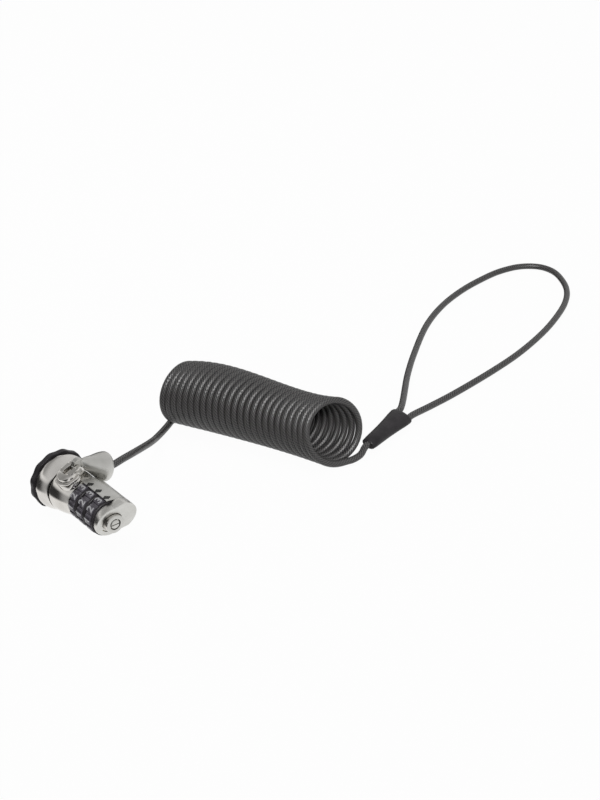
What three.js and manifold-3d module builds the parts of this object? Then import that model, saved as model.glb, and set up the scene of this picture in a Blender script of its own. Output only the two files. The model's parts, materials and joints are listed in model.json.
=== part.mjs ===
// Laptop cable lock: a three-dial combination head with a T-shaped anchor, a swivelling cable arm,
// and a coiled steel cable that ends in a crimped loop. Millimetres, +Z up, lying on a table.
// The head's axis runs along Y: the anchor points to +Y and the end cap to -Y. A depth along the
// head is counted from the drum's rim towards the end cap. The coil and the loop lie towards +X.

import * as THREE from 'three';
import { mergeVertices } from 'three/addons/utils/BufferGeometryUtils.js';
import Module from 'manifold-3d';

// ---------------------------------------------------------------- driving dimensions

const seatGap = 0.3; // between pieces that seat on each other
const runGap = 0.35; // between pieces that turn or slide past each other
const roundSides = 32; // facets of the large turned pieces
const smallSides = 16; // facets of pins, shanks and bores

// drum and anchor
const rimRadius = 13.4;
const drumLength = 8;
const drumEndRadius = 11.4;
const drumWall = 1.6;
const rimBand = 2.4; // straight part of the drum's side
const noseFlangeThickness = 1.7;
const noseRadius = 6.2;
const facePadThickness = 0.8;
const slotLength = 7; // the lock slot in a laptop's case
const slotWidth = 3;
const slotWall = 1.8; // thickness of the case round that slot
const slotPlay = 0.6;
const anchorHeadThickness = 1.5;
const anchorNeckRadius = 1.2;
const anchorShaftRadius = 1.7;
const anchorHubRadius = 2.4;
const anchorHubLength = 2.2;
const anchorTailLength = 1.2;
const lockPinRadius = 0.55;
const lockPinOffset = 2.35;
const lockPinDepth = 2.2; // held in the nose

// turning knob
const knobLobeRadius = 14.4;
const knobValleyRadius = 13.9;
const knobLobes = 12;
const knobThickness = 2.6;
const knobTurnDegrees = 90;
const driveLugInner = 7.7;
const driveLugOuter = 9;
const driveLugDegrees = 30;
const driveLugReach = 1.4; // past the nose flange
const camThickness = 1.8;
const camRadius = 9.3;
const clipThickness = 0.4;

// housing
const neckLength = 11.8;
const neckStartRadius = 11.2;
const grooveWidth = 0.6; // between the drum and the neck
const spigotLength = 2.4;
const barrelRadius = 9; // housing and end cap on the dial side
const spineReach = 12.3; // from the axis to the spine's back
const spineNoseRadius = 7.4;
const spineTiltDegrees = 14; // the spine's direction above +X
const spineHalfAngle = 70;
const spineShoulderRadius = 9.75; // of the spine's edges beside the dials
const springPocketRadius = 4.3;
const springPocketDepth = 7;

// dials
const dialCount = 3;
const dialPitch = 6.8;
const dialRadius = 8.75;
const dialWidth = 6.2;
const dialHubRadius = 7.7;
const padWidth = 4.3; // the raised band that carries the digits
const digitCount = 10;
const digitNotchDepth = 0.6;
const digitNotchDegrees = 9;
const sleeveRadius = 5.6;
const sleeveWall = 1.7;
const sleeveWebThickness = 1.2;
const gateWidth = 1.5;

// spindle, button and end cap
const spindleRadius = 1.9;
const finReach = 3.1;
const finThickness = 1.1;
const finWidth = 1.0;
const springCollarThickness = 1;
const springWireRadius = 0.35;
const springTurns = 5;
const capThickness = 3.2; // at the axis
const capStartRadius = 8.3;
const capFaceRadius = 7.3;
const capNoseRadius = 8.6;
const capSlopeAcross = 0.1; // the cap's face stands out further on the spine's side
const capSlopeUp = 0.11; // and at the top
const buttonRadius = 4.5;
const buttonStandOut = 2.4;
const buttonFlangeThickness = 0.7;
const buttonFlangeStep = 0.75;
const buttonTravel = 1;
const buttonSocketDepth = 1.4;
const codeScrewRadius = 2.25;
const codeScrewSlotWidth = 0.8;
const codeScrewSlotDepth = 0.6;
const codeScrewDepth = 1.3;
const codeScrewStandOut = 0.15;
const capPinRadius = 0.75;
const capPinLength = 6;
const capPinRing = 10.5; // distance of the two pins from the axis
const capPinSpreadDegrees = 16;

// detent leaf
const leafWidth = 3;
const leafThickness = 0.4;
const leafGapToDial = 0.65;

// swivel and cable arm
const swivelDepth = 14.7;
const swivelTiltDegrees = 21; // the swivel post leans this far from upright, towards -X
const swingToCapDegrees = 10; // from its rest place
const swingToDrumDegrees = 8;
const swingSpareDegrees = 1.5; // of the room for the arm beyond either limit
const swivelBossRadius = 5.7;
const swivelBossTop = 10.4; // distance from the head's axis
const postFlangeThickness = 1.5;
const postKnobRadius = 4.5;
const postKnobHeight = 2;
const clevisSlot = 2.9;
const clevisWidth = 8;
const postShankRadius = 2;
const postShankLength = 4.4;
const snapRingDepth = 1.6; // below the boss's top
const snapRingThickness = 0.6;
const pivotPinRadius = 0.8;
const pivotOffset = 5; // from the swivel's axis, towards the cable
const armEyeRadius = 1.7;
const armTongueThickness = 2.2;
const crestRadius = 2.6; // the hump of the arm over the pivot
const crestRise = 2.2;
const armReach = 17; // from the pivot to the ferrule's mouth
const armDroopDegrees = 18.7;
const ferruleRadius = 6.9;
const ferruleBoreRadius = 3.2;
const ferruleBoreDepth = 7;
const bushStandOut = 0.6;

// cable
const cableDiameter = 3.4;
const coilTurns = 18;
const coilX = [87.4, 107.1, 123.9]; // plan places of the first, the middle and the last turn's centre
const coilY = [30.6, -7.7, -47.9];
const coilFacing = [-79.2, -90.4, -99.6]; // degrees from +X that the same turns face
const coilLean = [-1.3, 10.5, 18.9]; // degrees that the same turns lean back
const coilRadii = [14.4, 15.35, 14.15, 15.4]; // to the cable's middle, at even shares of the turns
const coilSteps = 8;
const coilSides = 5;
const tubeSides = 8;
const leastTurnGap = 0.4;

// crimp sleeve
const sleevePlateLength = 33;
const sleeveHeading = 19; // degrees from +X
const sleeveRoll = 14; // degrees about its own length, its near side down
const sleeveNarrowWidth = 7.4;
const sleeveWideWidth = 12;
const sleeveThickness = 6;
const sleeveStart = [141.6, -50.6, 4]; // middle of its narrow end
const strandSpacing = 6.6;

// ---------------------------------------------------------------- derived places

const drumBoreRadius = rimRadius - drumWall - 1.5;
const noseFlangeRadius = drumBoreRadius - seatGap;
const noseFlangeBack = seatGap + noseFlangeThickness;
const noseFace = -(knobThickness + 2 * seatGap);
const facePadFace = noseFace - seatGap - facePadThickness;
const anchorHeadInner = facePadFace - slotWall;
const anchorHeadOuter = anchorHeadInner - anchorHeadThickness;
const camFront = noseFlangeBack + seatGap;
const camBack = camFront + camThickness;
const spigotStart = drumLength + grooveWidth - spigotLength;
const neckStart = drumLength + grooveWidth;
const neckEnd = neckStart + neckLength;
const firstDialStart = neckEnd + seatGap;
const dialsEnd = firstDialStart + (dialCount - 1) * dialPitch + dialWidth;
const capStart = dialsEnd + seatGap;
const capFace = capStart + capThickness;
const springPocketFloor = neckEnd - springPocketDepth;
const spindleBoreRadius = spindleRadius + runGap;
const flangeBack = dialsEnd + buttonTravel;
const flangeFront = flangeBack + buttonFlangeThickness;
const buttonFace = capFace + buttonStandOut;
const spindleStart = camBack + seatGap + clipThickness + anchorTailLength / 2 + buttonTravel + seatGap;
const spindleEnd = flangeBack + buttonSocketDepth - seatGap;
const spineInnerRadius = dialRadius + runGap;
const spineTilt = THREE.MathUtils.degToRad(spineTiltDegrees);
const swivelTilt = THREE.MathUtils.degToRad(swivelTiltDegrees);
const postFlangeTop = swivelBossTop + seatGap + postFlangeThickness;
const pivotHeight = swivelBossTop + armEyeRadius + 2 * seatGap + runGap / 2;
const armDroop = THREE.MathUtils.degToRad(armDroopDegrees);
const sleeveHeadingAngle = THREE.MathUtils.degToRad(sleeveHeading);
const sleeveRollAngle = THREE.MathUtils.degToRad(sleeveRoll);

// ---------------------------------------------------------------- solids and helpers

const wasm = await Module();
wasm.setup();

/** A closed geometry with shared vertices, no empty triangles and its faces pointing out. */
function closed(geometry) {
  const bare = geometry.index ? geometry.toNonIndexed() : geometry.clone();
  bare.deleteAttribute('normal');
  bare.deleteAttribute('uv');
  const merged = mergeVertices(bare, 1e-4);
  const p = merged.attributes.position;
  const kept = [];
  const corners = [new THREE.Vector3(), new THREE.Vector3(), new THREE.Vector3()];
  let volume = 0;
  for (let i = 0; i < merged.index.count; i += 3) {
    const t = [0, 1, 2].map((k) => merged.index.getX(i + k));
    if (t[0] === t[1] || t[1] === t[2] || t[2] === t[0]) continue;
    kept.push(t);
    t.forEach((v, k) => corners[k].fromBufferAttribute(p, v));
    volume += corners[0].dot(corners[1].clone().cross(corners[2]));
  }
  merged.setIndex(kept.flatMap((t) => (volume < 0 ? [t[0], t[2], t[1]] : t)));
  return merged;
}

function toSolid(geometry) {
  const g = closed(geometry);
  const vertProperties = new Float32Array(g.attributes.position.array);
  const triVerts = new Uint32Array(g.index.array);
  return new wasm.Manifold(new wasm.Mesh({ numProp: 3, vertProperties, triVerts }));
}

function fromSolid(solid) {
  const mesh = solid.getMesh();
  const geometry = new THREE.BufferGeometry();
  const positions = new Float32Array(mesh.numVert * 3);
  for (let i = 0; i < mesh.numVert; i++) {
    for (let k = 0; k < 3; k++) positions[3 * i + k] = mesh.vertProperties[mesh.numProp * i + k];
  }
  geometry.setAttribute('position', new THREE.BufferAttribute(positions, 3));
  geometry.setIndex(new THREE.BufferAttribute(new Uint32Array(mesh.triVerts), 1));
  return geometry;
}

/** The first geometry with the others joined to it. */
function joined(first, ...others) {
  return fromSolid(others.reduce((sum, g) => sum.add(toSolid(g)), toSolid(first)));
}

/** The first geometry with the others cut out of it. */
function cut(first, ...others) {
  return fromSolid(others.reduce((rest, g) => rest.subtract(toSolid(g)), toSolid(first)));
}

/** A round rod along the head's axis, between two depths. */
function rod(radius, from, to, sides = smallSides) {
  const g = new THREE.CylinderGeometry(radius, radius, to - from, sides);
  return g.translate(0, -(from + to) / 2, 0);
}

/** A solid of revolution round the head's axis, from [radius, depth] points. */
function turned(points, sides = roundSides) {
  const closedProfile = [...points, points[0]];
  return new THREE.LatheGeometry(closedProfile.map(([r, d]) => new THREE.Vector2(r, -d)), sides);
}

/** A ring round the head's axis. */
function ring(inner, outer, from, to, sides = roundSides) {
  return turned([[inner, from], [outer, from], [outer, to], [inner, to]], sides);
}

/** An outline in the head's cross-section, [x, z], drawn out between two depths. */
function prism(shape, from, to) {
  const g = new THREE.ExtrudeGeometry(shape, { depth: to - from, bevelEnabled: false, curveSegments: 6 });
  return g.rotateX(Math.PI / 2).translate(0, -from, 0);
}

/** A box between two radii along a direction in the head's cross-section. */
function key(innerRadius, outerRadius, width, from, to, angle = 0) {
  const g = new THREE.BoxGeometry(outerRadius - innerRadius, to - from, width);
  g.translate((innerRadius + outerRadius) / 2, -(from + to) / 2, 0);
  return g.rotateY(-angle);
}

/** A sector of a ring in the head's cross-section, centred on an angle. */
function arcShape(inner, outer, middle, halfAngle) {
  const shape = new THREE.Shape();
  shape.absarc(0, 0, outer, middle - halfAngle, middle + halfAngle, false);
  shape.absarc(0, 0, inner, middle + halfAngle, middle - halfAngle, true);
  return shape;
}

/** A closed body through rings of points, each ring with as many points as the others. */
function loft(rings) {
  const n = rings[0].length;
  const positions = [];
  const quad = (a, b, c, d) => positions.push(...a, ...b, ...c, ...a, ...c, ...d);
  for (let i = 0; i + 1 < rings.length; i++) {
    for (let j = 0; j < n; j++) {
      const k = (j + 1) % n;
      quad(rings[i][j], rings[i][k], rings[i + 1][k], rings[i + 1][j]);
    }
  }
  const cap = (points, flip) => {
    const middle = [0, 1, 2].map((k) => points.reduce((sum, p) => sum + p[k], 0) / n);
    for (let j = 0; j < n; j++) {
      const pair = [points[j], points[(j + 1) % n]];
      positions.push(...middle, ...(flip ? pair[0] : pair[1]), ...(flip ? pair[1] : pair[0]));
    }
  };
  cap(rings[0], false);
  cap(rings[rings.length - 1], true);
  const geometry = new THREE.BufferGeometry();
  geometry.setAttribute('position', new THREE.Float32BufferAttribute(positions, 3));
  return closed(geometry);
}

/**
 * The housing's egg outline: a circle round the axis and a smaller one towards the spine,
 * joined by their common tangents. Returns one ring of points at a depth.
 */
function eggRing(barrel, reach, noseRadius_, depth) {
  const offset = reach - noseRadius_;
  const tangent = offset > 1e-6 ? Math.acos(THREE.MathUtils.clamp((barrel - noseRadius_) / offset, -1, 1)) : 1;
  const points = [];
  const half = roundSides / 2;
  for (let i = 0; i < half; i++) {
    const a = -tangent + (2 * tangent * i) / (half - 1);
    points.push([offset + noseRadius_ * Math.cos(a), noseRadius_ * Math.sin(a)]);
  }
  for (let i = 0; i < half; i++) {
    const a = tangent + ((2 * Math.PI - 2 * tangent) * i) / (half - 1);
    points.push([barrel * Math.cos(a), barrel * Math.sin(a)]);
  }
  const c = Math.cos(spineTilt);
  const s = Math.sin(spineTilt);
  return points.map(([x, y]) => [x * c - y * s, -depth, x * s + y * c]);
}

/** A rod along the swivel's axis, between two distances from the head's axis. */
function swivelRod(radius, from, to, sides = roundSides) {
  const g = new THREE.CylinderGeometry(radius, radius, to - from, sides);
  return onSwivel(g.translate(0, (from + to) / 2, 0));
}

/** Moves a geometry made along +Y onto the swivel's axis. */
function onSwivel(geometry) {
  return geometry.rotateX(Math.PI / 2).rotateY(-swivelTilt).translate(0, -swivelDepth, 0);
}

const swivelAxis = new THREE.Vector3(-Math.sin(swivelTilt), 0, Math.cos(swivelTilt));
const pivot = swivelAxis.clone().multiplyScalar(pivotHeight)
  .add(new THREE.Vector3(swivelAxis.z, 0, -swivelAxis.x).multiplyScalar(pivotOffset)).setY(-swivelDepth);
const armDirection = new THREE.Vector3(Math.cos(armDroop), 0, -Math.sin(armDroop));
const armUp = new THREE.Vector3(Math.sin(armDroop), 0, Math.cos(armDroop));

// ---------------------------------------------------------------- the knob's outline and the axis height

const knobOutline = Array.from({ length: knobLobes * 4 }, (_, i) => {
  const angle = (2 * Math.PI * i) / (knobLobes * 4);
  const swing = 0.5 - 0.5 * Math.cos(knobLobes * angle);
  const radius = knobValleyRadius + (knobLobeRadius - knobValleyRadius) * swing;
  return new THREE.Vector2(radius * Math.cos(angle), radius * Math.sin(angle));
});
// the knob stands on two of its lobes
const axisHeight = -Math.min(...knobOutline.map((p) => p.y));

// ---------------------------------------------------------------- materials

function finish(color, roughness, metalness) {
  return new THREE.MeshStandardMaterial({ color, roughness, metalness });
}

const nickel = () => finish(0xb4b2ab, 0.28, 1);
const steel = () => finish(0x9a9a9c, 0.35, 1);
const brass = () => finish(0xb29a58, 0.35, 1);
const blackPlastic = () => finish(0x1c1b1d, 0.45, 0);
const blackRubber = () => finish(0x222124, 0.75, 0);
const smokeVinyl = () => finish(0x48484a, 0.5, 0);

const head = new THREE.Group();
const cable = new THREE.Group();

function add(group, name, geometry, material) {
  const mesh = new THREE.Mesh(closed(geometry), material);
  mesh.name = name;
  group.add(mesh);
  return mesh;
}

// ---------------------------------------------------------------- drum, nose and anchor

function drumShell() {
  const bandEnd = rimBand;
  return turned([
    [rimRadius - 0.5, 0],
    [rimRadius, 0.5],
    [rimRadius, bandEnd],
    [rimRadius - 0.5, bandEnd + 1.6],
    [drumEndRadius + 0.4, drumLength - 1],
    [drumEndRadius, drumLength],
    [drumBoreRadius, drumLength],
    [drumBoreRadius, 0],
  ]);
}

/** Two lugs of the knob, or the slots and notches round them, as sectors of a ring. */
function lugPair(inner, outer, halfAngle, from, to, turn = 0) {
  return [0, Math.PI].map((side) => prism(arcShape(inner, outer, side + turn, halfAngle), from, to));
}

const lugHalf = THREE.MathUtils.degToRad(driveLugDegrees) / 2;
const lugPlay = THREE.MathUtils.degToRad(4);
const knobTurn = THREE.MathUtils.degToRad(knobTurnDegrees);

function anchorNose() {
  const body = joined(
    rod(noseRadius, noseFace, noseFlangeBack, roundSides),
    rod(noseFlangeRadius, seatGap, noseFlangeBack, roundSides),
  );
  // the knob turns from its rest place by a quarter turn, anticlockwise seen from the anchor's tip
  const slots = lugPair(driveLugInner - runGap, driveLugOuter + runGap, lugHalf + lugPlay + knobTurn / 2,
    0, noseFlangeBack + 1, knobTurn / 2);
  const pinHoles = [-1, 1].map((side) => rod(lockPinRadius + seatGap, noseFace - 1, noseFace + lockPinDepth + seatGap)
    .translate(side * lockPinOffset, 0, 0));
  return cut(body, rod(anchorShaftRadius + runGap, noseFace - 1, noseFlangeBack + 1), ...slots, ...pinHoles);
}

function lockPin(side) {
  return rod(lockPinRadius, anchorHeadInner + slotPlay, noseFace + lockPinDepth, 12)
    .translate(side * lockPinOffset, 0, 0);
}

function facePad() {
  const inner = lockPinOffset + lockPinRadius + runGap;
  return ring(inner, noseRadius, facePadFace, facePadFace + facePadThickness);
}

function anchorBar() {
  const headLength = slotLength - slotPlay;
  const headWidth = slotWidth - slotPlay;
  const tHead = new THREE.BoxGeometry(headLength, anchorHeadThickness, headWidth)
    .translate(0, -(anchorHeadInner + anchorHeadOuter) / 2, 0);
  return joined(
    tHead,
    rod(anchorNeckRadius, anchorHeadOuter + 0.2, noseFace),
    rod(anchorShaftRadius, noseFace - facePadThickness / 2, camFront),
    rod(anchorHubRadius, camFront, camBack),
    rod(anchorShaftRadius, camBack - 0.2, camBack + seatGap + clipThickness + anchorTailLength / 2),
  );
}

function driveCam() {
  const notches = lugPair(driveLugInner - runGap, camRadius + 1, lugHalf + lugPlay / 2, camFront - 1, camBack + 1);
  return cut(ring(anchorHubRadius + seatGap, camRadius, camFront, camBack), ...notches);
}

function camClip() {
  const from = camBack + seatGap;
  return ring(anchorShaftRadius + seatGap, anchorHubRadius + 1.4, from, from + clipThickness, smallSides);
}

function turnKnob() {
  const shape = new THREE.Shape(knobOutline);
  const bore = new THREE.Path();
  bore.absarc(0, 0, noseRadius + runGap, 0, 2 * Math.PI, false);
  shape.holes.push(bore);
  const back = -seatGap;
  const lobed = new THREE.ExtrudeGeometry(shape, { depth: knobThickness, bevelEnabled: false, curveSegments: 10 })
    .rotateX(Math.PI / 2).translate(0, knobThickness - back, 0);
  const lugs = lugPair(driveLugInner, driveLugOuter, lugHalf, back - 0.5, noseFlangeBack + driveLugReach);
  return joined(lobed, ...lugs);
}

add(head, 'drum_shell', drumShell(), nickel());
add(head, 'anchor_nose', anchorNose(), steel());
add(head, 'lock_pin_1', lockPin(-1), steel());
add(head, 'lock_pin_2', lockPin(1), steel());
add(head, 'face_pad', facePad(), blackRubber());
add(head, 'turn_knob', turnKnob(), blackPlastic());
add(head, 'anchor_bar', anchorBar(), steel());
add(head, 'drive_cam', driveCam(), steel());
add(head, 'cam_clip', camClip(), steel());

// ---------------------------------------------------------------- housing and end cap

function capPinHoles(radius, from, to) {
  return [-1, 1].map((side) => {
    const angle = spineTilt + side * THREE.MathUtils.degToRad(capPinSpreadDegrees);
    return rod(radius, from, to, 12).translate(capPinRing * Math.cos(angle), 0, capPinRing * Math.sin(angle));
  });
}

function headBody() {
  const neck = loft([
    eggRing(neckStartRadius, neckStartRadius + 0.01, neckStartRadius, neckStart),
    eggRing(neckStartRadius - 0.3, neckStartRadius + 0.2, neckStartRadius - 0.6, neckStart + 0.25 * neckLength),
    eggRing(barrelRadius + 0.9, spineReach - 0.3, spineNoseRadius + 1.4, neckStart + 0.7 * neckLength),
    eggRing(barrelRadius, spineReach, spineNoseRadius, neckEnd),
  ]);
  const spineOuter = loft([
    eggRing(spineShoulderRadius, spineReach, spineNoseRadius, neckEnd - 0.6),
    eggRing(spineShoulderRadius, spineReach, spineNoseRadius, dialsEnd),
  ]);
  const spineKeep = prism(arcShape(spineInnerRadius, spineReach + 2, spineTilt,
    THREE.MathUtils.degToRad(spineHalfAngle)), neckEnd - 0.6, dialsEnd);
  const spine = fromSolid(toSolid(spineOuter).intersect(toSolid(spineKeep)));
  const body = joined(
    neck,
    spine,
    rod(drumBoreRadius - seatGap, spigotStart, neckStart + 0.5, roundSides),
    swivelRod(swivelBossRadius, springPocketRadius + 2.2, swivelBossTop),
  );
  const leafRoom = key(spineInnerRadius - 0.6, dialRadius + leafGapToDial + leafThickness + seatGap,
    leafWidth + 2 * seatGap, neckEnd - seatGap, dialsEnd + 1, spineTilt);
  const ringMiddle = swivelBossTop - snapRingDepth;
  return cut(
    body,
    rod(spindleBoreRadius, spigotStart - 1, neckEnd + 1),
    rod(springPocketRadius, springPocketFloor, neckEnd + 1, roundSides),
    leafRoom,
    swivelRod(swivelBossRadius + runGap, swivelBossTop, 2 * swivelBossTop),
    swivelRod(postShankRadius + runGap, swivelBossTop - postShankLength - seatGap, swivelBossTop + 1, smallSides),
    swivelRod(postShankRadius + 1.2 + seatGap, ringMiddle - snapRingThickness / 2 - seatGap,
      ringMiddle + snapRingThickness / 2 + seatGap, smallSides),
    ...capPinHoles(capPinRadius + seatGap, dialsEnd - capPinLength / 2 - seatGap, dialsEnd + 1),
    ...hornRoom(),
  );
}

function endCap() {
  const slanted = eggRing(capFaceRadius, spineReach, capNoseRadius, capFace)
    .map(([x, y, z]) => [x, y - capSlopeAcross * x - capSlopeUp * z, z]);
  const body = loft([eggRing(capStartRadius, spineReach, capNoseRadius, capStart), slanted]);
  return cut(
    body,
    rod(buttonRadius + buttonFlangeStep + runGap, capStart - 1, flangeFront + seatGap, roundSides),
    rod(buttonRadius + runGap, capStart, capFace + 1, roundSides),
    ...capPinHoles(capPinRadius + seatGap, capStart - 1, capStart + capPinLength / 2),
  );
}

function capPins() {
  return capPinHoles(capPinRadius, dialsEnd - capPinLength / 2, capStart + capPinLength / 2 - seatGap);
}

function detentLeaf() {
  const inner = dialRadius + leafGapToDial;
  const from = neckEnd;
  const strip = key(inner, inner + leafThickness, leafWidth, from, dialsEnd, spineTilt);
  const bumps = Array.from({ length: dialCount }, (_, i) => {
    const middle = firstDialStart + i * dialPitch + padWidth / 2;
    return key(dialRadius + runGap, inner + leafThickness / 2, leafWidth / 2, middle - 0.5, middle + 0.5, spineTilt);
  });
  return joined(strip, ...bumps);
}

add(head, 'head_body', headBody(), nickel());
add(head, 'end_cap', endCap(), nickel());
capPins().forEach((pin, i) => add(head, `cap_pin_${i + 1}`, pin, steel()));
add(head, 'detent_leaf', detentLeaf(), steel());

// ---------------------------------------------------------------- dials and their sleeves

function numberDial(start) {
  const shape = new THREE.Shape();
  const notch = THREE.MathUtils.degToRad(digitNotchDegrees);
  const step = (2 * Math.PI) / digitCount;
  const floor = dialRadius - digitNotchDepth;
  for (let i = 0; i < digitCount; i++) {
    const a = i * step;
    for (const [radius, angle] of [
      [floor, a - notch / 2],
      [floor, a + notch / 2],
      [dialRadius, a + notch],
      [dialRadius, a + step / 2],
      [dialRadius, a + step - notch],
    ]) {
      const x = radius * Math.cos(angle);
      const y = radius * Math.sin(angle);
      if (i === 0 && radius === floor && angle < a) shape.moveTo(x, y);
      else shape.lineTo(x, y);
    }
  }
  const pads = prism(shape, start + seatGap, start + seatGap + padWidth);
  const hub = rod(dialHubRadius, start, start + dialWidth, roundSides);
  return cut(joined(pads, hub), rod(sleeveRadius + seatGap, start - 1, start + dialWidth + 1, roundSides));
}

function dialSleeve(start) {
  const from = start + seatGap;
  const to = start + dialWidth - seatGap;
  return cut(
    rod(sleeveRadius, from, to, roundSides),
    rod(sleeveRadius - sleeveWall, from - 1, to - sleeveWebThickness, 24),
    rod(spindleBoreRadius, from, to + 1),
    key(0, finReach + runGap, gateWidth, from, to + 1),
  );
}

for (let i = 0; i < dialCount; i++) {
  const start = firstDialStart + i * dialPitch;
  add(head, `number_dial_${i + 1}`, numberDial(start), blackPlastic());
  add(head, `dial_sleeve_${i + 1}`, dialSleeve(start), brass());
}

// ---------------------------------------------------------------- spindle, spring and button

const collarFront = neckEnd - springCollarThickness - seatGap;

function lockSpindle() {
  const fins = Array.from({ length: dialCount }, (_, i) => {
    const back = firstDialStart + i * dialPitch + dialWidth - seatGap - sleeveWebThickness - seatGap;
    return key(0, finReach, finWidth, back - finThickness, back);
  });
  return joined(
    rod(spindleRadius, spindleStart, spindleEnd),
    rod(springPocketRadius - runGap, collarFront, collarFront + springCollarThickness, roundSides),
    ...fins,
  );
}

/** A closed tube through points, with its section turned by two vectors at each point. */
function tube(points, radius, sides, frames) {
  const rings = points.map((p, i) => {
    const { across, along } = frames[i];
    return Array.from({ length: sides }, (_, j) => {
      const a = (2 * Math.PI * j) / sides;
      const q = p.clone().addScaledVector(across, radius * Math.cos(a)).addScaledVector(along, radius * Math.sin(a));
      return q.toArray();
    });
  });
  return loft(rings);
}

function returnSpring() {
  const middle = (springPocketRadius + spindleRadius) / 2;
  const from = springPocketFloor + seatGap + springWireRadius;
  const to = collarFront - seatGap - springWireRadius;
  const steps = springTurns * coilSteps;
  const points = [];
  const frames = [];
  for (let i = 0; i <= steps; i++) {
    const a = (2 * Math.PI * i) / coilSteps;
    const out = new THREE.Vector3(Math.cos(a), 0, Math.sin(a));
    points.push(out.clone().multiplyScalar(middle).setY(-(from + ((to - from) * i) / steps)));
    frames.push({ across: out, along: new THREE.Vector3(0, 1, 0) });
  }
  return tube(points, springWireRadius, coilSides, frames);
}

function pushButton() {
  const body = joined(
    rod(buttonRadius, flangeFront - 0.2, buttonFace, roundSides),
    rod(buttonRadius + buttonFlangeStep, flangeBack, flangeFront, roundSides),
  );
  return cut(
    body,
    rod(spindleRadius + seatGap, flangeBack - 1, flangeBack + buttonSocketDepth),
    rod(codeScrewRadius + seatGap, buttonFace - codeScrewDepth - seatGap, buttonFace + 1, 24),
  );
}

function codeScrew() {
  const face = buttonFace + codeScrewStandOut;
  const slot = new THREE.BoxGeometry(3 * codeScrewRadius, 2 * codeScrewSlotDepth, codeScrewSlotWidth)
    .translate(0, -face, 0);
  return cut(rod(codeScrewRadius, buttonFace - codeScrewDepth, face, 24), slot);
}

add(head, 'lock_spindle', lockSpindle(), steel());
add(head, 'return_spring', returnSpring(), steel());
add(head, 'push_button', pushButton(), nickel());
add(head, 'code_screw', codeScrew(), nickel());

// ---------------------------------------------------------------- swivel post and cable arm

/** A cylinder along the pivot's axis. */
function pivotRod(radius, length, sides = smallSides) {
  return new THREE.CylinderGeometry(radius, radius, length, sides).translate(pivot.x, pivot.y, pivot.z);
}

/** A box on the swivel's axis: from one sideways distance to another, and from one height to another. */
function swivelBox(sideFrom, sideTo, width, from, to) {
  return onSwivel(new THREE.BoxGeometry(sideTo - sideFrom, to - from, width)
    .translate((sideFrom + sideTo) / 2, (from + to) / 2, 0));
}

function swivelPost() {
  const flangeFrom = swivelBossTop + seatGap;
  const earRadius = armEyeRadius + seatGap;
  const ringMiddle = swivelBossTop - snapRingDepth;
  const body = joined(
    swivelRod(swivelBossRadius, flangeFrom, postFlangeTop),
    swivelRod(postKnobRadius, postFlangeTop - 0.2, postFlangeTop + postKnobHeight),
    swivelRod(postShankRadius, swivelBossTop - postShankLength, flangeFrom + 0.2, smallSides),
    swivelBox(0, pivotOffset, clevisWidth, postFlangeTop - 0.2, pivotHeight + earRadius * 0.9),
    pivotRod(earRadius, clevisWidth, 20),
  );
  const groove = onSwivel(new THREE.LatheGeometry([
    [postShankRadius - 0.5, -1], [postShankRadius + 1, -1], [postShankRadius + 1, 1], [postShankRadius - 0.5, 1],
    [postShankRadius - 0.5, -1],
  ].map(([r, side]) => new THREE.Vector2(r, ringMiddle + side * (snapRingThickness / 2 + seatGap))), smallSides));
  return cut(
    body,
    swivelBox(pivotOffset - armEyeRadius - seatGap, 3 * pivotOffset, clevisSlot, flangeFrom - 1, 2 * pivotHeight),
    swivelBox(-1, pivotOffset, clevisSlot, postFlangeTop + 0.5, 2 * pivotHeight),
    groove,
    pivotRod(pivotPinRadius + seatGap, 2 * clevisWidth),
  );
}

function snapRing() {
  const middle = swivelBossTop - snapRingDepth;
  const inner = postShankRadius - 0.5 + seatGap;
  const outer = postShankRadius + 1.2;
  const half = snapRingThickness / 2;
  return onSwivel(new THREE.LatheGeometry([
    [inner, -half], [outer, -half], [outer, half], [inner, half], [inner, -half],
  ].map(([r, d]) => new THREE.Vector2(r, middle + d)), smallSides));
}

function pivotPin() {
  return pivotRod(pivotPinRadius, clevisWidth - 0.6);
}

/** A point of the arm: its distance along the arm, then across it, then above it. */
function onArm(along, across, above) {
  return pivot.clone().addScaledVector(armDirection, along).addScaledVector(armUp, above)
    .add(new THREE.Vector3(0, across, 0));
}

/** One oval section of the arm, square to it. */
function armRing(along, halfWidth, halfHeight, above = 0, spare = 0) {
  const n = 24;
  return Array.from({ length: n }, (_, i) => {
    const a = (2 * Math.PI * i) / n;
    const across = (halfWidth + spare) * Math.cos(a);
    return onArm(along, across, above + (halfHeight + spare) * Math.sin(a)).toArray();
  });
}

/** The flared horn, or the room round it. */
function horn(spare = 0) {
  const root = armTongueThickness / 2;
  return loft([
    armRing(0.14 * armReach - spare, root, 2.7, 1.9, spare),
    armRing(0.27 * armReach, root + 1.4, 3, 2, spare),
    armRing(0.48 * armReach, 4.2, 4.2, 1.3, spare),
    armRing(0.7 * armReach, ferruleRadius - 0.9, ferruleRadius - 1, 0.5, spare),
    armRing(0.87 * armReach, ferruleRadius, ferruleRadius, 0, spare),
    armRing(0.95 * armReach, ferruleRadius, ferruleRadius, 0, spare),
    armRing(armReach + spare, ferruleRadius - 0.9, ferruleRadius - 0.9, 0, spare),
  ]);
}

/** A rod along the arm. */
function armRod(radius, from, to, sides = roundSides) {
  const section = (along) => Array.from({ length: sides }, (_, i) => {
    const a = (2 * Math.PI * i) / sides;
    return onArm(along, radius * Math.cos(a), radius * Math.sin(a)).toArray();
  });
  return loft([section(from), section(to)]);
}

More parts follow.
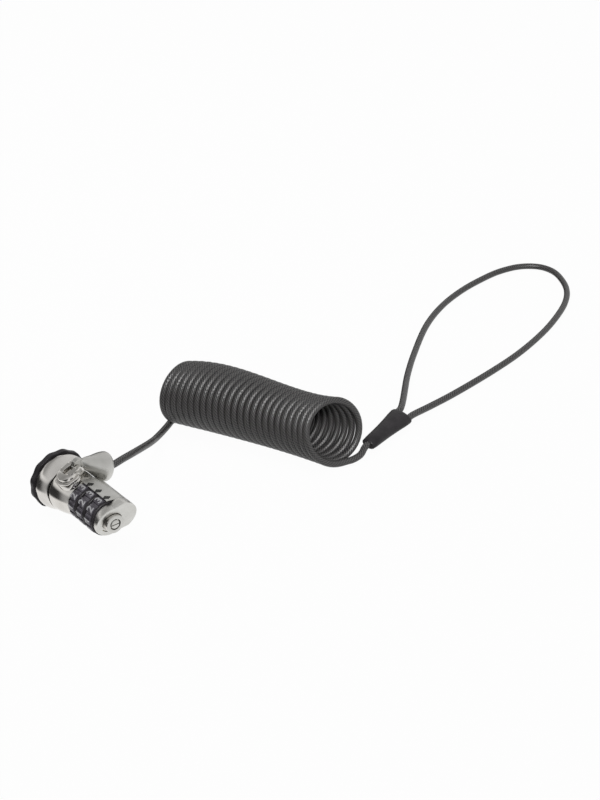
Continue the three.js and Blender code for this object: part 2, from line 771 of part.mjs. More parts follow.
function cableArm() {
  const tongueLength = 0.2 * armReach;
  const tongue = new THREE.BoxGeometry(tongueLength, armTongueThickness, armEyeRadius * 1.7)
    .translate(tongueLength / 2, 0, 0).rotateY(armDroop).translate(pivot.x, pivot.y, pivot.z);
  const bore = armRod(ferruleBoreRadius, armReach - ferruleBoreDepth, armReach + 1, 24);
  const crest = onArm(0.6, 0, crestRise);
  const hump = new THREE.CylinderGeometry(crestRadius, crestRadius, armTongueThickness, 20)
    .translate(crest.x, crest.y, crest.z);
  const body = joined(pivotRod(armEyeRadius, armTongueThickness, 20), tongue, hump, horn());
  return cut(body, pivotRod(pivotPinRadius + runGap, 2 * armTongueThickness), bore);
}

/** The room that the horn sweeps out as the swivel turns. */
function hornRoom() {
  const from = -swingToCapDegrees - swingSpareDegrees;
  const to = swingToDrumDegrees + swingSpareDegrees;
  const count = 9;
  return Array.from({ length: count }, (_, i) => {
    const angle = THREE.MathUtils.degToRad(from + ((to - from) * i) / (count - 1));
    const turn = new THREE.Matrix4().makeRotationAxis(swivelAxis, angle);
    return horn(runGap).translate(0, swivelDepth, 0).applyMatrix4(turn).translate(0, -swivelDepth, 0);
  });
}

function strainBush() {
  return armRod(ferruleBoreRadius - seatGap, armReach - ferruleBoreDepth + seatGap, armReach + bushStandOut, 24);
}

add(head, 'swivel_post', swivelPost(), nickel());
add(head, 'snap_ring', snapRing(), steel());
add(head, 'pivot_pin', pivotPin(), steel());
add(head, 'cable_arm', cableArm(), nickel());
add(head, 'strain_bush', strainBush(), blackRubber());

// ---------------------------------------------------------------- cable

/** The value at a share of the way along a smooth curve through evenly spaced values. */
function through(values, share) {
  const at = (k) => k / (values.length - 1);
  return values.reduce((sum, value, k) => {
    const weight = values.reduce((w, _, j) => (j === k ? w : (w * (share - at(j))) / (at(k) - at(j))), 1);
    return sum + value * weight;
  }, 0);
}

/** The cable's middle, and the vectors of its section, at a share of the coil's turns. */
function onCoil(share) {
  const lean = THREE.MathUtils.degToRad(through(coilLean, share));
  const faceAngle = THREE.MathUtils.degToRad(through(coilFacing, share));
  const face = new THREE.Vector3(Math.cos(faceAngle), Math.sin(faceAngle), 0);
  const sideways = new THREE.Vector3(-face.y, face.x, 0);
  const up = face.clone().multiplyScalar(-Math.sin(lean)).setZ(Math.cos(lean));
  const normal = face.clone().multiplyScalar(Math.cos(lean)).setZ(Math.sin(lean));
  const radius = through(coilRadii, share);
  const middle = new THREE.Vector3(
    through(coilX, share),
    through(coilY, share),
    cableDiameter / 2 + radius * Math.cos(lean),
  );
  const turn = 2 * Math.PI * coilTurns * share;
  const across = up.clone().multiplyScalar(-Math.cos(turn)).addScaledVector(sideways, Math.sin(turn));
  const heading = up.clone().multiplyScalar(Math.sin(turn)).addScaledVector(sideways, Math.cos(turn));
  return { point: middle.addScaledVector(across, radius), across, along: normal, heading };
}

const coilStations = Array.from({ length: coilTurns * coilSteps + 1 }, (_, i) => onCoil(i / (coilTurns * coilSteps)));
const coilFirst = coilStations[0];
const coilLast = coilStations[coilStations.length - 1];
const coilInlet = coilFirst.point.clone().addScaledVector(coilFirst.heading, -cableDiameter);
const coilOutlet = coilLast.point.clone().addScaledVector(coilLast.heading, cableDiameter);

function cableCoil() {
  const points = [coilInlet, ...coilStations.map((s) => s.point), coilOutlet];
  const frames = [coilFirst, ...coilStations, coilLast];
  return tube(points, cableDiameter / 2, coilSides, frames);
}

/** The least gap between two turns, from points along the cable's middle. */
function leastGap() {
  const perTurn = 48;
  const points = Array.from({ length: coilTurns * perTurn + 1 }, (_, i) => onCoil(i / (coilTurns * perTurn)).point);
  let least = Infinity;
  for (let i = 0; i < points.length; i++) {
    for (let j = i + perTurn / 2; j < Math.min(points.length, i + 2 * perTurn); j++) {
      least = Math.min(least, points[i].distanceTo(points[j]));
    }
  }
  return least - cableDiameter;
}

const coilGap = leastGap();
console.log(`least gap between the coil's turns: ${coilGap.toFixed(2)} mm, wanted over ${leastTurnGap} mm`);

/** A free stretch of cable along a smooth curve through points. */
function cableRun(points, steps) {
  const circle = new THREE.Shape();
  for (let j = 0; j < tubeSides; j++) {
    const a = (2 * Math.PI * (j + 0.5)) / tubeSides;
    const p = [(cableDiameter / 2) * Math.cos(a), (cableDiameter / 2) * Math.sin(a)];
    if (j === 0) circle.moveTo(...p);
    else circle.lineTo(...p);
  }
  const path = new THREE.CatmullRomCurve3(points, false, 'centripetal');
  return new THREE.ExtrudeGeometry(circle, { steps, bevelEnabled: false, extrudePath: path });
}

const cableRest = cableDiameter / 2 + 0.05; // height of the cable's middle where it lies on the table
const sleeveDirection = new THREE.Vector3(Math.cos(sleeveHeadingAngle), Math.sin(sleeveHeadingAngle), 0);
const sleeveAcross = new THREE.Vector3(-sleeveDirection.y, sleeveDirection.x, 0)
  .multiplyScalar(Math.cos(sleeveRollAngle)).setZ(Math.sin(sleeveRollAngle));
const sleeveUp = sleeveDirection.clone().cross(sleeveAcross);

function onSleeve(along, across, above = 0) {
  return new THREE.Vector3(...sleeveStart).addScaledVector(sleeveDirection, along)
    .addScaledVector(sleeveAcross, across).addScaledVector(sleeveUp, above);
}

/** From the arm's bush down to the table and along to the coil. */
function leadPoints() {
  const exit = onArm(armReach + bushStandOut + seatGap, 0, 0).add(new THREE.Vector3(0, 0, axisHeight));
  const before = coilInlet.clone().addScaledVector(coilFirst.heading, -seatGap);
  return [
    exit,
    exit.clone().addScaledVector(armDirection, 1.2),
    new THREE.Vector3(21.8, -13.6, 21.3),
    new THREE.Vector3(26.5, -11.2, 20.3),
    new THREE.Vector3(33.5, -7.3, 18.3),
    new THREE.Vector3(44, 0.3, 13.9),
    new THREE.Vector3(55.4, 9.4, 8.6),
    new THREE.Vector3(63.6, 17, 4.4),
    new THREE.Vector3(72, 23.4, 2.3),
    new THREE.Vector3(77.6, 27.2, 1.8),
    before.clone().addScaledVector(coilFirst.heading, -2),
    before,
  ];
}

function tailPoints() {
  const after = coilOutlet.clone().addScaledVector(coilLast.heading, seatGap);
  const into = onSleeve(-seatGap, 0);
  return [
    after,
    after.clone().addScaledVector(coilLast.heading, 2.5),
    new THREE.Vector3(134.4, -53.8, 2.6),
    onSleeve(-seatGap - 2.5, 0),
    into,
  ];
}

function loopPoints() {
  const out = sleevePlateLength + seatGap;
  const strand = (side, along) => onSleeve(out + along, (side * strandSpacing) / 2);
  return [
    strand(1, 0),
    strand(1, 3),
    new THREE.Vector3(204.6, -7.5, cableRest + 0.6),
    new THREE.Vector3(222.2, 7.7, cableRest),
    new THREE.Vector3(250.4, 29, cableRest),
    new THREE.Vector3(272, 40.7, cableRest),
    new THREE.Vector3(292.1, 47.8, cableRest),
    new THREE.Vector3(310.5, 51.6, cableRest),
    new THREE.Vector3(328.4, 53.1, cableRest),
    new THREE.Vector3(342.5, 50.2, cableRest),
    new THREE.Vector3(350.8, 43, cableRest),
    new THREE.Vector3(352.5, 33.9, cableRest),
    new THREE.Vector3(347.6, 21, cableRest),
    new THREE.Vector3(340.2, 10.6, cableRest),
    new THREE.Vector3(328, 0.4, cableRest),
    new THREE.Vector3(306, -11.6, cableRest),
    new THREE.Vector3(286.4, -19.6, cableRest),
    new THREE.Vector3(264.8, -26.4, cableRest),
    new THREE.Vector3(244.8, -30.9, cableRest),
    new THREE.Vector3(225.8, -34.3, cableRest),
    new THREE.Vector3(206.7, -37.2, cableRest),
    new THREE.Vector3(192, -39.2, cableRest + 0.4),
    strand(-1, 3),
    strand(-1, 0),
  ];
}

function sleeveRing(along, halfWidth, halfHeight) {
  const n = 16;
  const power = 0.55; // a flattened oval, fuller than an ellipse
  return Array.from({ length: n }, (_, i) => {
    const a = (2 * Math.PI * (i + 0.5)) / n;
    const across = halfWidth * Math.sign(Math.cos(a)) * Math.abs(Math.cos(a)) ** power;
    const above = halfHeight * Math.sign(Math.sin(a)) * Math.abs(Math.sin(a)) ** power;
    return onSleeve(along, across, above).toArray();
  });
}

function crimpSleeve() {
  const half = sleeveThickness / 2;
  const flat = half * Math.abs(Math.sin(Math.PI / 2 - Math.PI / 16)) ** 0.55;
  const scale = half / flat;
  return loft([
    sleeveRing(0, 0.42 * sleeveNarrowWidth, 0.62 * half * scale),
    sleeveRing(0.12 * sleevePlateLength, sleeveNarrowWidth / 2, half * scale),
    sleeveRing(0.45 * sleevePlateLength, (sleeveNarrowWidth + 0.35 * (sleeveWideWidth - sleeveNarrowWidth)) / 2,
      half * scale),
    sleeveRing(0.8 * sleevePlateLength, sleeveWideWidth / 2 - 0.4, half * scale),
    sleeveRing(sleevePlateLength, sleeveWideWidth / 2, 0.8 * half * scale),
  ]);
}

add(cable, 'cable_lead', cableRun(leadPoints(), 16), smokeVinyl());
add(cable, 'cable_coil', cableCoil(), smokeVinyl());
add(cable, 'cable_tail', cableRun(tailPoints(), 4), smokeVinyl());
add(cable, 'crimp_sleeve', crimpSleeve(), blackPlastic());
add(cable, 'cable_loop', cableRun(loopPoints(), 60), smokeVinyl());

// ---------------------------------------------------------------- the whole lock

head.position.z = axisHeight;
const lock = new THREE.Group();
lock.add(head, cable);
lock.updateMatrixWorld(true);
const headBox = new THREE.Box3().setFromObject(head, true);
const headMiddle = headBox.getCenter(new THREE.Vector3());
// the origin is under the middle of the head, on the table
lock.position.set(-headMiddle.x, -headMiddle.y, 0);

export default lock;
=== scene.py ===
# %% [markdown]
# # A laptop cable lock, dressed in Blender
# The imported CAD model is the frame: it says where each piece is, in metres. The looks are built
# round it: the cable first, then the metal head, the number dials and the black plastic pieces.

# %% Load the frame
import json
import math
import bmesh
import bpy
from mathutils import Matrix, Vector

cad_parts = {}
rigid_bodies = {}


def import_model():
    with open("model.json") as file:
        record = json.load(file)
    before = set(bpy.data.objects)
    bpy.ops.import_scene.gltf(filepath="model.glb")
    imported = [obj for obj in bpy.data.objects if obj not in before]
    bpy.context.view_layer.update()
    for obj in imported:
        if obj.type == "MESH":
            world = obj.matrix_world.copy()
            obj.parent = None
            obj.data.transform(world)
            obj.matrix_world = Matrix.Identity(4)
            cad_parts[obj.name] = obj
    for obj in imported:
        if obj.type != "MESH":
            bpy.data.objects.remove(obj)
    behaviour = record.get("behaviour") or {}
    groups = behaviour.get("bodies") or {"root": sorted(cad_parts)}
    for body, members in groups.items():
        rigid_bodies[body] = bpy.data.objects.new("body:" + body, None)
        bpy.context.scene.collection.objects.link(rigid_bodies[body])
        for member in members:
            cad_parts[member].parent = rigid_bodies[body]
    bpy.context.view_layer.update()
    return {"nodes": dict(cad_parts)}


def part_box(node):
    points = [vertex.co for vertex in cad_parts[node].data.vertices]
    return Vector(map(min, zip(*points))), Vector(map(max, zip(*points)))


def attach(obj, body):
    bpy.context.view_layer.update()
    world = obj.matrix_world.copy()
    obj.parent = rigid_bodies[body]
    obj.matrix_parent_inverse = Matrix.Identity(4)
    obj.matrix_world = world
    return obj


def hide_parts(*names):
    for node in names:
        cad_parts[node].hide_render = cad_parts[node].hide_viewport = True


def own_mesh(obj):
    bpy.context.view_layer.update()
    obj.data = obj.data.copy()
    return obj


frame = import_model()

# %% [markdown]
# Everything on the head is turned or lofted round one axis, which runs along Y. The drum tells
# where that axis is, and its rim is where depths along the head start. The pivot pin tells where
# the cable arm hinges.

# %% Places that the frame gives
mm = 0.001
drum_low, drum_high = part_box("drum_shell")
pin_low, pin_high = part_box("pivot_pin")
axis_x = (drum_low.x + drum_high.x) / 2
axis_z = (drum_low.z + drum_high.z) / 2
rim_y = drum_high.y
pivot = (pin_low + pin_high) / 2
inward = Vector((0, -1, 0))


def on_axis(depth):
    """The point of the head's axis at a depth in millimetres from the drum's rim."""
    return Vector((axis_x, rim_y - depth * mm, axis_z))


print("axis x, z", round(axis_x, 5), round(axis_z, 5), "rim y", round(rim_y, 5))
print("pivot", [round(v, 5) for v in pivot])

# %% [markdown]
# ## Camera
# The photograph was taken from above and beside the end cap with a long lens. This camera stands
# where the photograph's lines meet, so that the pieces fall on their places in the picture.

# %% The camera
table_origin = Vector((axis_x, rim_y, 0))
eye = table_origin + Vector((-333.37, -605.04, 450.0)) * mm
aim = table_origin + Vector((146.49, 9.15, 0)) * mm
lens = bpy.data.cameras.new("still_camera")
lens.lens = 79.41
lens.sensor_width = 36
lens.clip_start = 0.01
camera = bpy.data.objects.new("still_camera", lens)
bpy.context.scene.collection.objects.link(camera)
camera.location = eye
camera.rotation_euler = (aim - eye).to_track_quat("-Z", "Y").to_euler()
bpy.context.scene.camera = camera
print("camera", [round(v, 4) for v in camera.location])

# %% [markdown]
# ## Light
# Bright metal shows the room. A product studio is a white tent with a dark gap near the horizon,
# which draws the dark bands on the drum and the neck. The gap is at the back and the left, so the
# front faces stay light, but for one dark patch at the left. The camera sees plain white. One
# large soft lamp hangs over the object. A smaller one in front lights only the cable and the black
# pieces, so it leaves the metal alone.

# %% Helpers for shader nodes
def node(tree, kind, **sockets):
    """A new shader node with some sockets set: From_Max=2 sets the one named From Max."""
    made = tree.nodes.new("ShaderNode" + kind)
    for socket, value in sockets.items():
        made.inputs[socket.replace("_", " ")].default_value = value
    return made


def along_way(tree, way):
    """A node that tells how far a vector reaches along a way."""
    made = node(tree, "VectorMath")
    made.operation = "DOT_PRODUCT"
    made.inputs[1].default_value = way
    return made


def wire(tree, *pairs):
    """Links each output to its input."""
    for output, socket in pairs:
        tree.links.new(output, socket)


print("node helpers ready")

# %% The world
world = bpy.data.worlds.new("studio_tent")
bpy.context.scene.world = world
world.use_nodes = True
tree = world.node_tree
tree.nodes.clear()
direction = node(tree, "TexCoord")
height = node(tree, "SeparateXYZ")
lift = node(tree, "MapRange", From_Min=-1)
belt = node(tree, "ValToRGB")
belt.color_ramp.interpolation = "EASE"
belt_levels = {0.0: 0.7, 0.25: 0.8, 0.3: 0.04, 0.56: 0.03, 0.62: 0.55, 0.68: 0.8, 0.75: 0.28, 1.0: 0.25}
for place in list(belt_levels)[1:-1]:
    belt.color_ramp.elements.new(place)
for stop in belt.color_ramp.elements:
    level = belt_levels[round(stop.position, 2)]
    stop.color = (level, level * 0.995, level * 0.985, 1)
side = along_way(tree, (-0.35, 0.94, 0))
behind = node(tree, "MapRange", From_Min=0.35, From_Max=0.65)
front = node(tree, "MapRange", From_Min=-1, To_Min=0.85, To_Max=0.5)
wall = node(tree, "Mix")
wall.data_type = "RGBA"
aside = along_way(tree, (-0.85, -0.52, -0.1))
shade = node(tree, "MapRange", From_Min=0.76, From_Max=0.88, To_Min=1, To_Max=0.04)
shaded = node(tree, "VectorMath")
shaded.operation = "SCALE"
tent = node(tree, "Background", Strength=1.25)
plain = node(tree, "Background", Color=(1, 1, 1, 1))
room = node(tree, "Background", Color=(1, 1, 1, 1), Strength=0.3)
rays = node(tree, "LightPath")
seen = node(tree, "Math")
seen.operation = "MAXIMUM"
by_gloss = node(tree, "MixShader")
by_eye = node(tree, "MixShader")
world_out = node(tree, "OutputWorld")
wire(
    tree,
    (direction.outputs["Generated"], height.inputs[0]),
    (height.outputs["Z"], lift.inputs["Value"]),
    (lift.outputs["Result"], belt.inputs["Fac"]),
    (direction.outputs["Generated"], side.inputs[0]),
    (side.outputs["Value"], behind.inputs["Value"]),
    (height.outputs["Z"], front.inputs["Value"]),
    (behind.outputs["Result"], wall.inputs["Factor"]),
    (front.outputs["Result"], wall.inputs["A"]),
    (belt.outputs["Color"], wall.inputs["B"]),
    (direction.outputs["Generated"], aside.inputs[0]),
    (aside.outputs["Value"], shade.inputs["Value"]),
    (wall.outputs["Result"], shaded.inputs[0]),
    (shade.outputs["Result"], shaded.inputs["Scale"]),
    (shaded.outputs["Vector"], tent.inputs["Color"]),
    (rays.outputs["Is Camera Ray"], seen.inputs[0]),
    (rays.outputs["Is Transmission Ray"], seen.inputs[1]),
    (rays.outputs["Is Glossy Ray"], by_gloss.inputs["Fac"]),
    (room.outputs[0], by_gloss.inputs[1]),
    (tent.outputs[0], by_gloss.inputs[2]),
    (seen.outputs[0], by_eye.inputs["Fac"]),
    (by_gloss.outputs[0], by_eye.inputs[1]),
    (plain.outputs[0], by_eye.inputs[2]),
    (by_eye.outputs[0], world_out.inputs["Surface"]),
)
print("world nodes", len(tree.nodes))

# %% The lamps
def soft_lamp(name, place, target, width, power):
    """A square area lamp that looks at a point."""
    data = bpy.data.lights.new(name, "AREA")
    data.size = width
    data.energy = power
    lamp = bpy.data.objects.new(name, data)
    bpy.context.scene.collection.objects.link(lamp)
    lamp.location = place
    lamp.rotation_euler = (target - place).to_track_quat("-Z", "Y").to_euler()
    return lamp


middle = table_origin + Vector((0.13, 0.0, 0.0))
overhead_lamp = soft_lamp("overhead_lamp", middle + Vector((-0.15, 0.35, 1.1)), middle, 0.8, 5)
overhead_lamp.visible_glossy = False
front_lamp = soft_lamp("front_lamp", middle + Vector((-0.5, -0.8, 1.0)), middle, 0.3, 18)
dark_pieces = bpy.data.collections.new("dark_pieces")
front_lamp.light_linking.receiver_collection = dark_pieces
bpy.context.scene.view_settings.view_transform = "Standard"

# %% The floor
# The object lies on a white sweep. The camera sees it almost white, with a little of the shadow.
bpy.ops.object.select_all(action="DESELECT")
bpy.ops.mesh.primitive_plane_add(size=6, location=(middle.x, middle.y, -0.0002))
floor = bpy.context.object
floor.name = "white_sweep"
floor.visible_glossy = False
paper = bpy.data.materials.new("white_paper")
paper.use_nodes = True
tree = paper.node_tree
tree.nodes.clear()
matte = node(tree, "BsdfDiffuse", Color=(0.86, 0.86, 0.86, 1))
glow = node(tree, "Emission", Color=(1, 1, 1, 1))
rays = node(tree, "LightPath")
share = node(tree, "Math")
share.operation = "MULTIPLY"
share.inputs[1].default_value = 0.97
blend = node(tree, "MixShader")
paper_out = node(tree, "OutputMaterial")
wire(
    tree,
    (rays.outputs["Is Camera Ray"], share.inputs[0]),
    (share.outputs[0], blend.inputs["Fac"]),
    (matte.outputs[0], blend.inputs[1]),
    (glow.outputs[0], blend.inputs[2]),
    (blend.outputs[0], paper_out.inputs["Surface"]),
)
floor.data.materials.append(paper)
print("floor at", round(floor.location.z, 5))

# %% [markdown]
# ## The cable
# The cable is steel rope in a smoky clear jacket, 3.4 mm thick. It leaves the ferrule, drops to the
# table, winds into a lying coil of twenty-five turns, and goes into the crimp sleeve. The coil
# turns lie on the table, lean back more towards the near end, and face a little aside. A smooth
# curve through a few measured values gives each turn its place, as in the CAD model.

# %% Values of the coil and the sleeve, in millimetres and degrees
cable_thickness = 3.4
turns = 25
coil_x = [87.4, 107.1, 123.9]
coil_y = [30.6, -7.7, -47.9]
coil_facing = [-79.2, -90.4, -99.6]
coil_lean = [-1.3, 10.5, 18.9]
coil_radii = [14.4, 15.35, 14.15, 15.4]
arm_droop = math.radians(18.7)
arm_reach = 17.0
arm_direction = Vector((math.cos(arm_droop), 0, -math.sin(arm_droop)))
arm_up = Vector((math.sin(arm_droop), 0, math.cos(arm_droop)))
sleeve_start = Vector((141.6, -50.6, 4))
sleeve_length = 33.0
sleeve_heading = math.radians(19)
sleeve_roll = math.radians(14)
sleeve_along = Vector((math.cos(sleeve_heading), math.sin(sleeve_heading), 0))
sleeve_across = Vector((
    -math.sin(sleeve_heading) * math.cos(sleeve_roll),
    math.cos(sleeve_heading) * math.cos(sleeve_roll),
    math.sin(sleeve_roll),
))
sleeve_up = sleeve_along.cross(sleeve_across)
rest_height = cable_thickness / 2 + 0.05


def from_table(point):
    """Millimetres counted from the table under the drum's rim, as metres in the frame."""
    return table_origin + Vector(point) * mm


def arm_at(along, across=0.0, above=0.0):
    """A point of the cable arm, in metres: millimetres along it from the pivot, across and above."""
    return pivot + (arm_direction * along + Vector((0, across, 0)) + arm_up * above) * mm


def sleeve_at(along, across=0.0, above=0.0):
    """A point of the crimp sleeve in table millimetres, counted from its narrow end."""
    return sleeve_start + sleeve_along * along + sleeve_across * across + sleeve_up * above


def through(values, share):
    """The value at a share of the way along a smooth curve through evenly spaced values."""
    last = len(values) - 1
    total = 0.0
    for k, value in enumerate(values):
        weight = 1.0
        for j in range(last + 1):
            if j != k:
                weight *= (share - j / last) / ((k - j) / last)
        total += value * weight
    return total


def on_coil(share):
    """The cable's middle and its heading at a share of the coil's turns, in table millimetres."""
    lean = math.radians(through(coil_lean, share))
    facing = math.radians(through(coil_facing, share))
    face = Vector((math.cos(facing), math.sin(facing), 0))
    side = Vector((-face.y, face.x, 0))
    up = Vector((-face.x * math.sin(lean), -face.y * math.sin(lean), math.cos(lean)))
    radius = through(coil_radii, share)
    centre_height = cable_thickness / 2 + radius * math.cos(lean)
    centre = Vector((through(coil_x, share), through(coil_y, share), centre_height))
    angle = 2 * math.pi * turns * share
    out = side * math.sin(angle) - up * math.cos(angle)
    heading = up * math.sin(angle) + side * math.cos(angle)
    return centre + out * radius, heading


print("coil from", [round(v, 1) for v in on_coil(0)[0]], "to", [round(v, 1) for v in on_coil(1)[0]])

# %% The cable's route
def smooth_run(points, count):
    """Points along a smooth curve through the given ones, with even spacing of its parameter."""
    pts = [points[0] * 2 - points[1]] + list(points) + [points[-1] * 2 - points[-2]]
    out = []
    spans = len(points) - 1
    for i in range(count + 1):
        at = spans * i / count
        k = min(int(at), spans - 1)
        t = at - k
        p0, p1, p2, p3 = pts[k:k + 4]
        d0, d1, d2 = (max((b - a).length ** 0.5, 1e-4) for a, b in ((p0, p1), (p1, p2), (p2, p3)))
        m1 = ((p1 - p0) / d0 - (p2 - p0) / (d0 + d1) + (p2 - p1) / d1) * d1
        m2 = ((p2 - p1) / d1 - (p3 - p1) / (d1 + d2) + (p3 - p2) / d2) * d1
        a = p1 * 2 - p2 * 2 + m1 + m2
        b = p2 * 3 - p1 * 3 - m1 * 2 - m2
        out.append(a * t ** 3 + b * t ** 2 + m1 * t + p1)
    return out


def even_spacing(points, step):
    """The same line with its points about one step apart."""
    lengths = [0.0]
    for a, b in zip(points, points[1:]):
        lengths.append(lengths[-1] + (b - a).length)
    count = max(2, round(lengths[-1] / step))
    out, k = [], 0
    for i in range(count + 1):
        target = lengths[-1] * i / count
        while k < len(points) - 2 and lengths[k + 1] < target:
            k += 1
        t = (target - lengths[k]) / max(lengths[k + 1] - lengths[k], 1e-9)
        out.append(points[k].lerp(points[k + 1], min(max(t, 0), 1)))
    return out


def to_table(point):
    """A point of the frame as table millimetres."""
    return (point - table_origin) / mm


first, first_heading = on_coil(0)
last, last_heading = on_coil(1)
inlet = first - first_heading * (cable_thickness + 0.3)
outlet = last + last_heading * (cable_thickness + 0.3)
lead = smooth_run([
    to_table(arm_at(arm_reach - 3.5)),
    to_table(arm_at(arm_reach + 0.9)),
    to_table(arm_at(arm_reach + 2.1)),
    Vector((21.8, -13.6, 21.3)),
    Vector((26.5, -11.2, 20.3)),
    Vector((33.5, -7.3, 18.3)),
    Vector((44, 0.3, 13.9)),
    Vector((55.4, 9.4, 8.6)),
    Vector((63.6, 17, 4.4)),
    Vector((72, 23.4, 2.3)),
    Vector((77.6, 27.2, 1.8)),
    inlet - first_heading * 2,
    inlet,
], 240)
coil = [on_coil(i / (turns * 48))[0] for i in range(turns * 48 + 1)]
tail = smooth_run([
    outlet,
    outlet + last_heading * 2.5,
    Vector((134.4, -53.8, 2.6)),
    sleeve_at(-2.8),
    sleeve_at(3),
], 80)
main_route = [from_table(p) for p in even_spacing(lead + coil + tail, 1.9)]

# %% The loop's route
half_gap = 6.6 / 2
loop_points = [
    sleeve_at(sleeve_length - 4, half_gap * 0.9),
    sleeve_at(sleeve_length + 0.3, half_gap),
    sleeve_at(sleeve_length + 3.3, half_gap),
    Vector((204.6, -7.5, rest_height + 0.6)),
]
loop_points += [Vector((x, y, rest_height)) for x, y in [
    (222.2, 7.7), (250.4, 29), (272, 40.7), (292.1, 47.8), (310.5, 51.6), (328.4, 53.1), (342.5, 50.2),
    (350.8, 43), (352.5, 33.9), (347.6, 21), (340.2, 10.6), (328, 0.4), (306, -11.6), (286.4, -19.6),
    (264.8, -26.4), (244.8, -30.9), (225.8, -34.3), (206.7, -37.2),
]]
loop_points += [
    Vector((192, -39.2, rest_height + 0.4)),
    sleeve_at(sleeve_length + 3.3, -half_gap),
    sleeve_at(sleeve_length + 0.3, -half_gap),
    sleeve_at(sleeve_length - 4, -half_gap * 0.9),
]
loop_route = [from_table(p) for p in even_spacing(smooth_run(loop_points, 600), 2.0)]


# %% A tube along a route
def cable_tube(name, route, sides=14):
    """A closed tube with a UV map: round the cable, and along it in the same units."""
    mesh = bpy.data.meshes.new(name)
    bm = bmesh.new()
    uv = bm.loops.layers.uv.new("along_cable")
    radius = cable_thickness / 2 * mm
    normal = None
    rings, lengths = [], [0.0]
    for i, p in enumerate(route):
        ahead = (route[min(i + 1, len(route) - 1)] - route[max(i - 1, 0)]).normalized()
        if normal is None:
            normal = ahead.cross(Vector((0, 0, 1))).normalized()
        normal = (normal - ahead * normal.dot(ahead)).normalized()
        other = ahead.cross(normal)
        if i:
            lengths.append(lengths[-1] + (p - route[i - 1]).length)
        angles = [2 * math.pi * j / sides for j in range(sides)]
        outward = [normal * math.cos(a) + other * math.sin(a) for a in angles]
        rings.append([bm.verts.new(p + way * radius) for way in outward])
    scale = 2 * math.pi * radius
    for i in range(len(rings) - 1):
        for j in range(sides):
            k = (j + 1) % sides
            face = bm.faces.new((rings[i][j], rings[i][k], rings[i + 1][k], rings[i + 1][j]))
            face.smooth = True
            corners = [(j, i), (j + 1, i), (j + 1, i + 1), (j, i + 1)]
            for loop, (u, v) in zip(face.loops, corners):
                loop[uv].uv = (u / sides, lengths[v] / scale)
    bm.faces.new(rings[0][::-1])
    bm.faces.new(rings[-1])
    bm.to_mesh(mesh)
    bm.free()
    piece = bpy.data.objects.new(name, mesh)
    bpy.context.scene.collection.objects.link(piece)
    return piece


main_cable = cable_tube("smoke_cable", main_route)
loop_cable = cable_tube("smoke_loop", loop_route)
print("cable faces", len(main_cable.data.polygons), "loop faces", len(loop_cable.data.polygons))

# %% [markdown]
# ## Finishes
# Each finish is a Principled shader with its pattern on Object coordinates, or on the cable's own
# UV map. A cloud of noise shifts its colour and roughness a little, and fine noise gives a bump.

# %% A finish from two shades
def two_shades(tree, dark_place, dark, light_place, light):
    """A ramp from a dark shade to a light one."""
    ramp = node(tree, "ValToRGB")
    for stop, place, shade in zip(ramp.color_ramp.elements, (dark_place, light_place), (dark, light)):
        stop.position = place
        stop.color = (*shade, 1)
    return ramp


def finish(name, dark, light, metallic, rough, cloud, grain, bump, stretch=(1, 1, 1), coat=0.0):
    """A procedural finish: sizes of cloud and grain in millimetres, bump depth in millimetres."""
    material = bpy.data.materials.new(name)
    material.use_nodes = True
    tree = material.node_tree
    shader = tree.nodes["Principled BSDF"]
    shader.inputs["Metallic"].default_value = metallic
    shader.inputs["Coat Weight"].default_value = coat
    place = node(tree, "TexCoord")
    turn = node(tree, "Mapping", Scale=stretch)
    patches = node(tree, "TexNoise", Scale=1000 / cloud, Detail=3)
    shades = two_shades(tree, 0.35, dark, 0.65, light)
    gloss = node(tree, "MapRange", To_Min=rough[0], To_Max=rough[1])
    fine = node(tree, "TexNoise", Scale=1000 / grain, Detail=2)
    relief = node(tree, "Bump", Distance=bump * mm, Strength=0.6)
    wire(
        tree,
        (place.outputs["Object"], turn.inputs["Vector"]),
        (place.outputs["Object"], patches.inputs["Vector"]),
        (turn.outputs["Vector"], fine.inputs["Vector"]),
        (patches.outputs["Fac"], shades.inputs["Fac"]),
        (patches.outputs["Fac"], gloss.inputs["Value"]),
        (shades.outputs["Color"], shader.inputs["Base Color"]),
        (gloss.outputs["Result"], shader.inputs["Roughness"]),
        (fine.outputs["Fac"], relief.inputs["Height"]),
        (relief.outputs["Normal"], shader.inputs["Normal"]),
    )
    return material


bright_nickel = finish("bright_nickel", (0.62, 0.6, 0.57), (0.74, 0.72, 0.69), 1, (0.1, 0.2), 9, 0.5, 0.004)
turned_nickel = finish("turned_nickel", (0.62, 0.6, 0.575), (0.74, 0.72, 0.69), 1, (0.12, 0.22),
                       9, 0.9, 0.006, stretch=(0.08, 1, 0.08))
satin_nickel = finish("satin_nickel", (0.57, 0.565, 0.54), (0.65, 0.645, 0.62), 1, (0.3, 0.42),
                      6, 0.25, 0.008)
# A lighter copy of the satin nickel for the cap's sides: painted highlight, so the sides read brighter than
# the slanted face.
lit_side_nickel = finish("lit_side_nickel", (0.66, 0.65, 0.62), (0.74, 0.73, 0.7), 1, (0.26, 0.36), 7, 0.3, 0.006)
dark_steel = finish("dark_steel", (0.3, 0.3, 0.3), (0.42, 0.42, 0.41), 1, (0.25, 0.4), 5, 0.3, 0.006)
sleeve_brass = finish("sleeve_brass", (0.55, 0.42, 0.18), (0.68, 0.54, 0.26), 1, (0.2, 0.35), 5, 0.4, 0.005)
black_plastic = finish("black_plastic", (0.012, 0.011, 0.012), (0.022, 0.02, 0.022), 0, (0.32, 0.48),
                       6, 0.22, 0.02)
dial_black = finish("dial_black", (0.05, 0.045, 0.056), (0.09, 0.084, 0.098), 0.5, (0.2, 0.32),
                    3, 0.3, 0.01, coat=0.4)
dull_rubber = finish("dull_rubber", (0.018, 0.018, 0.018), (0.03, 0.03, 0.03), 0, (0.6, 0.8), 4, 0.2, 0.03)
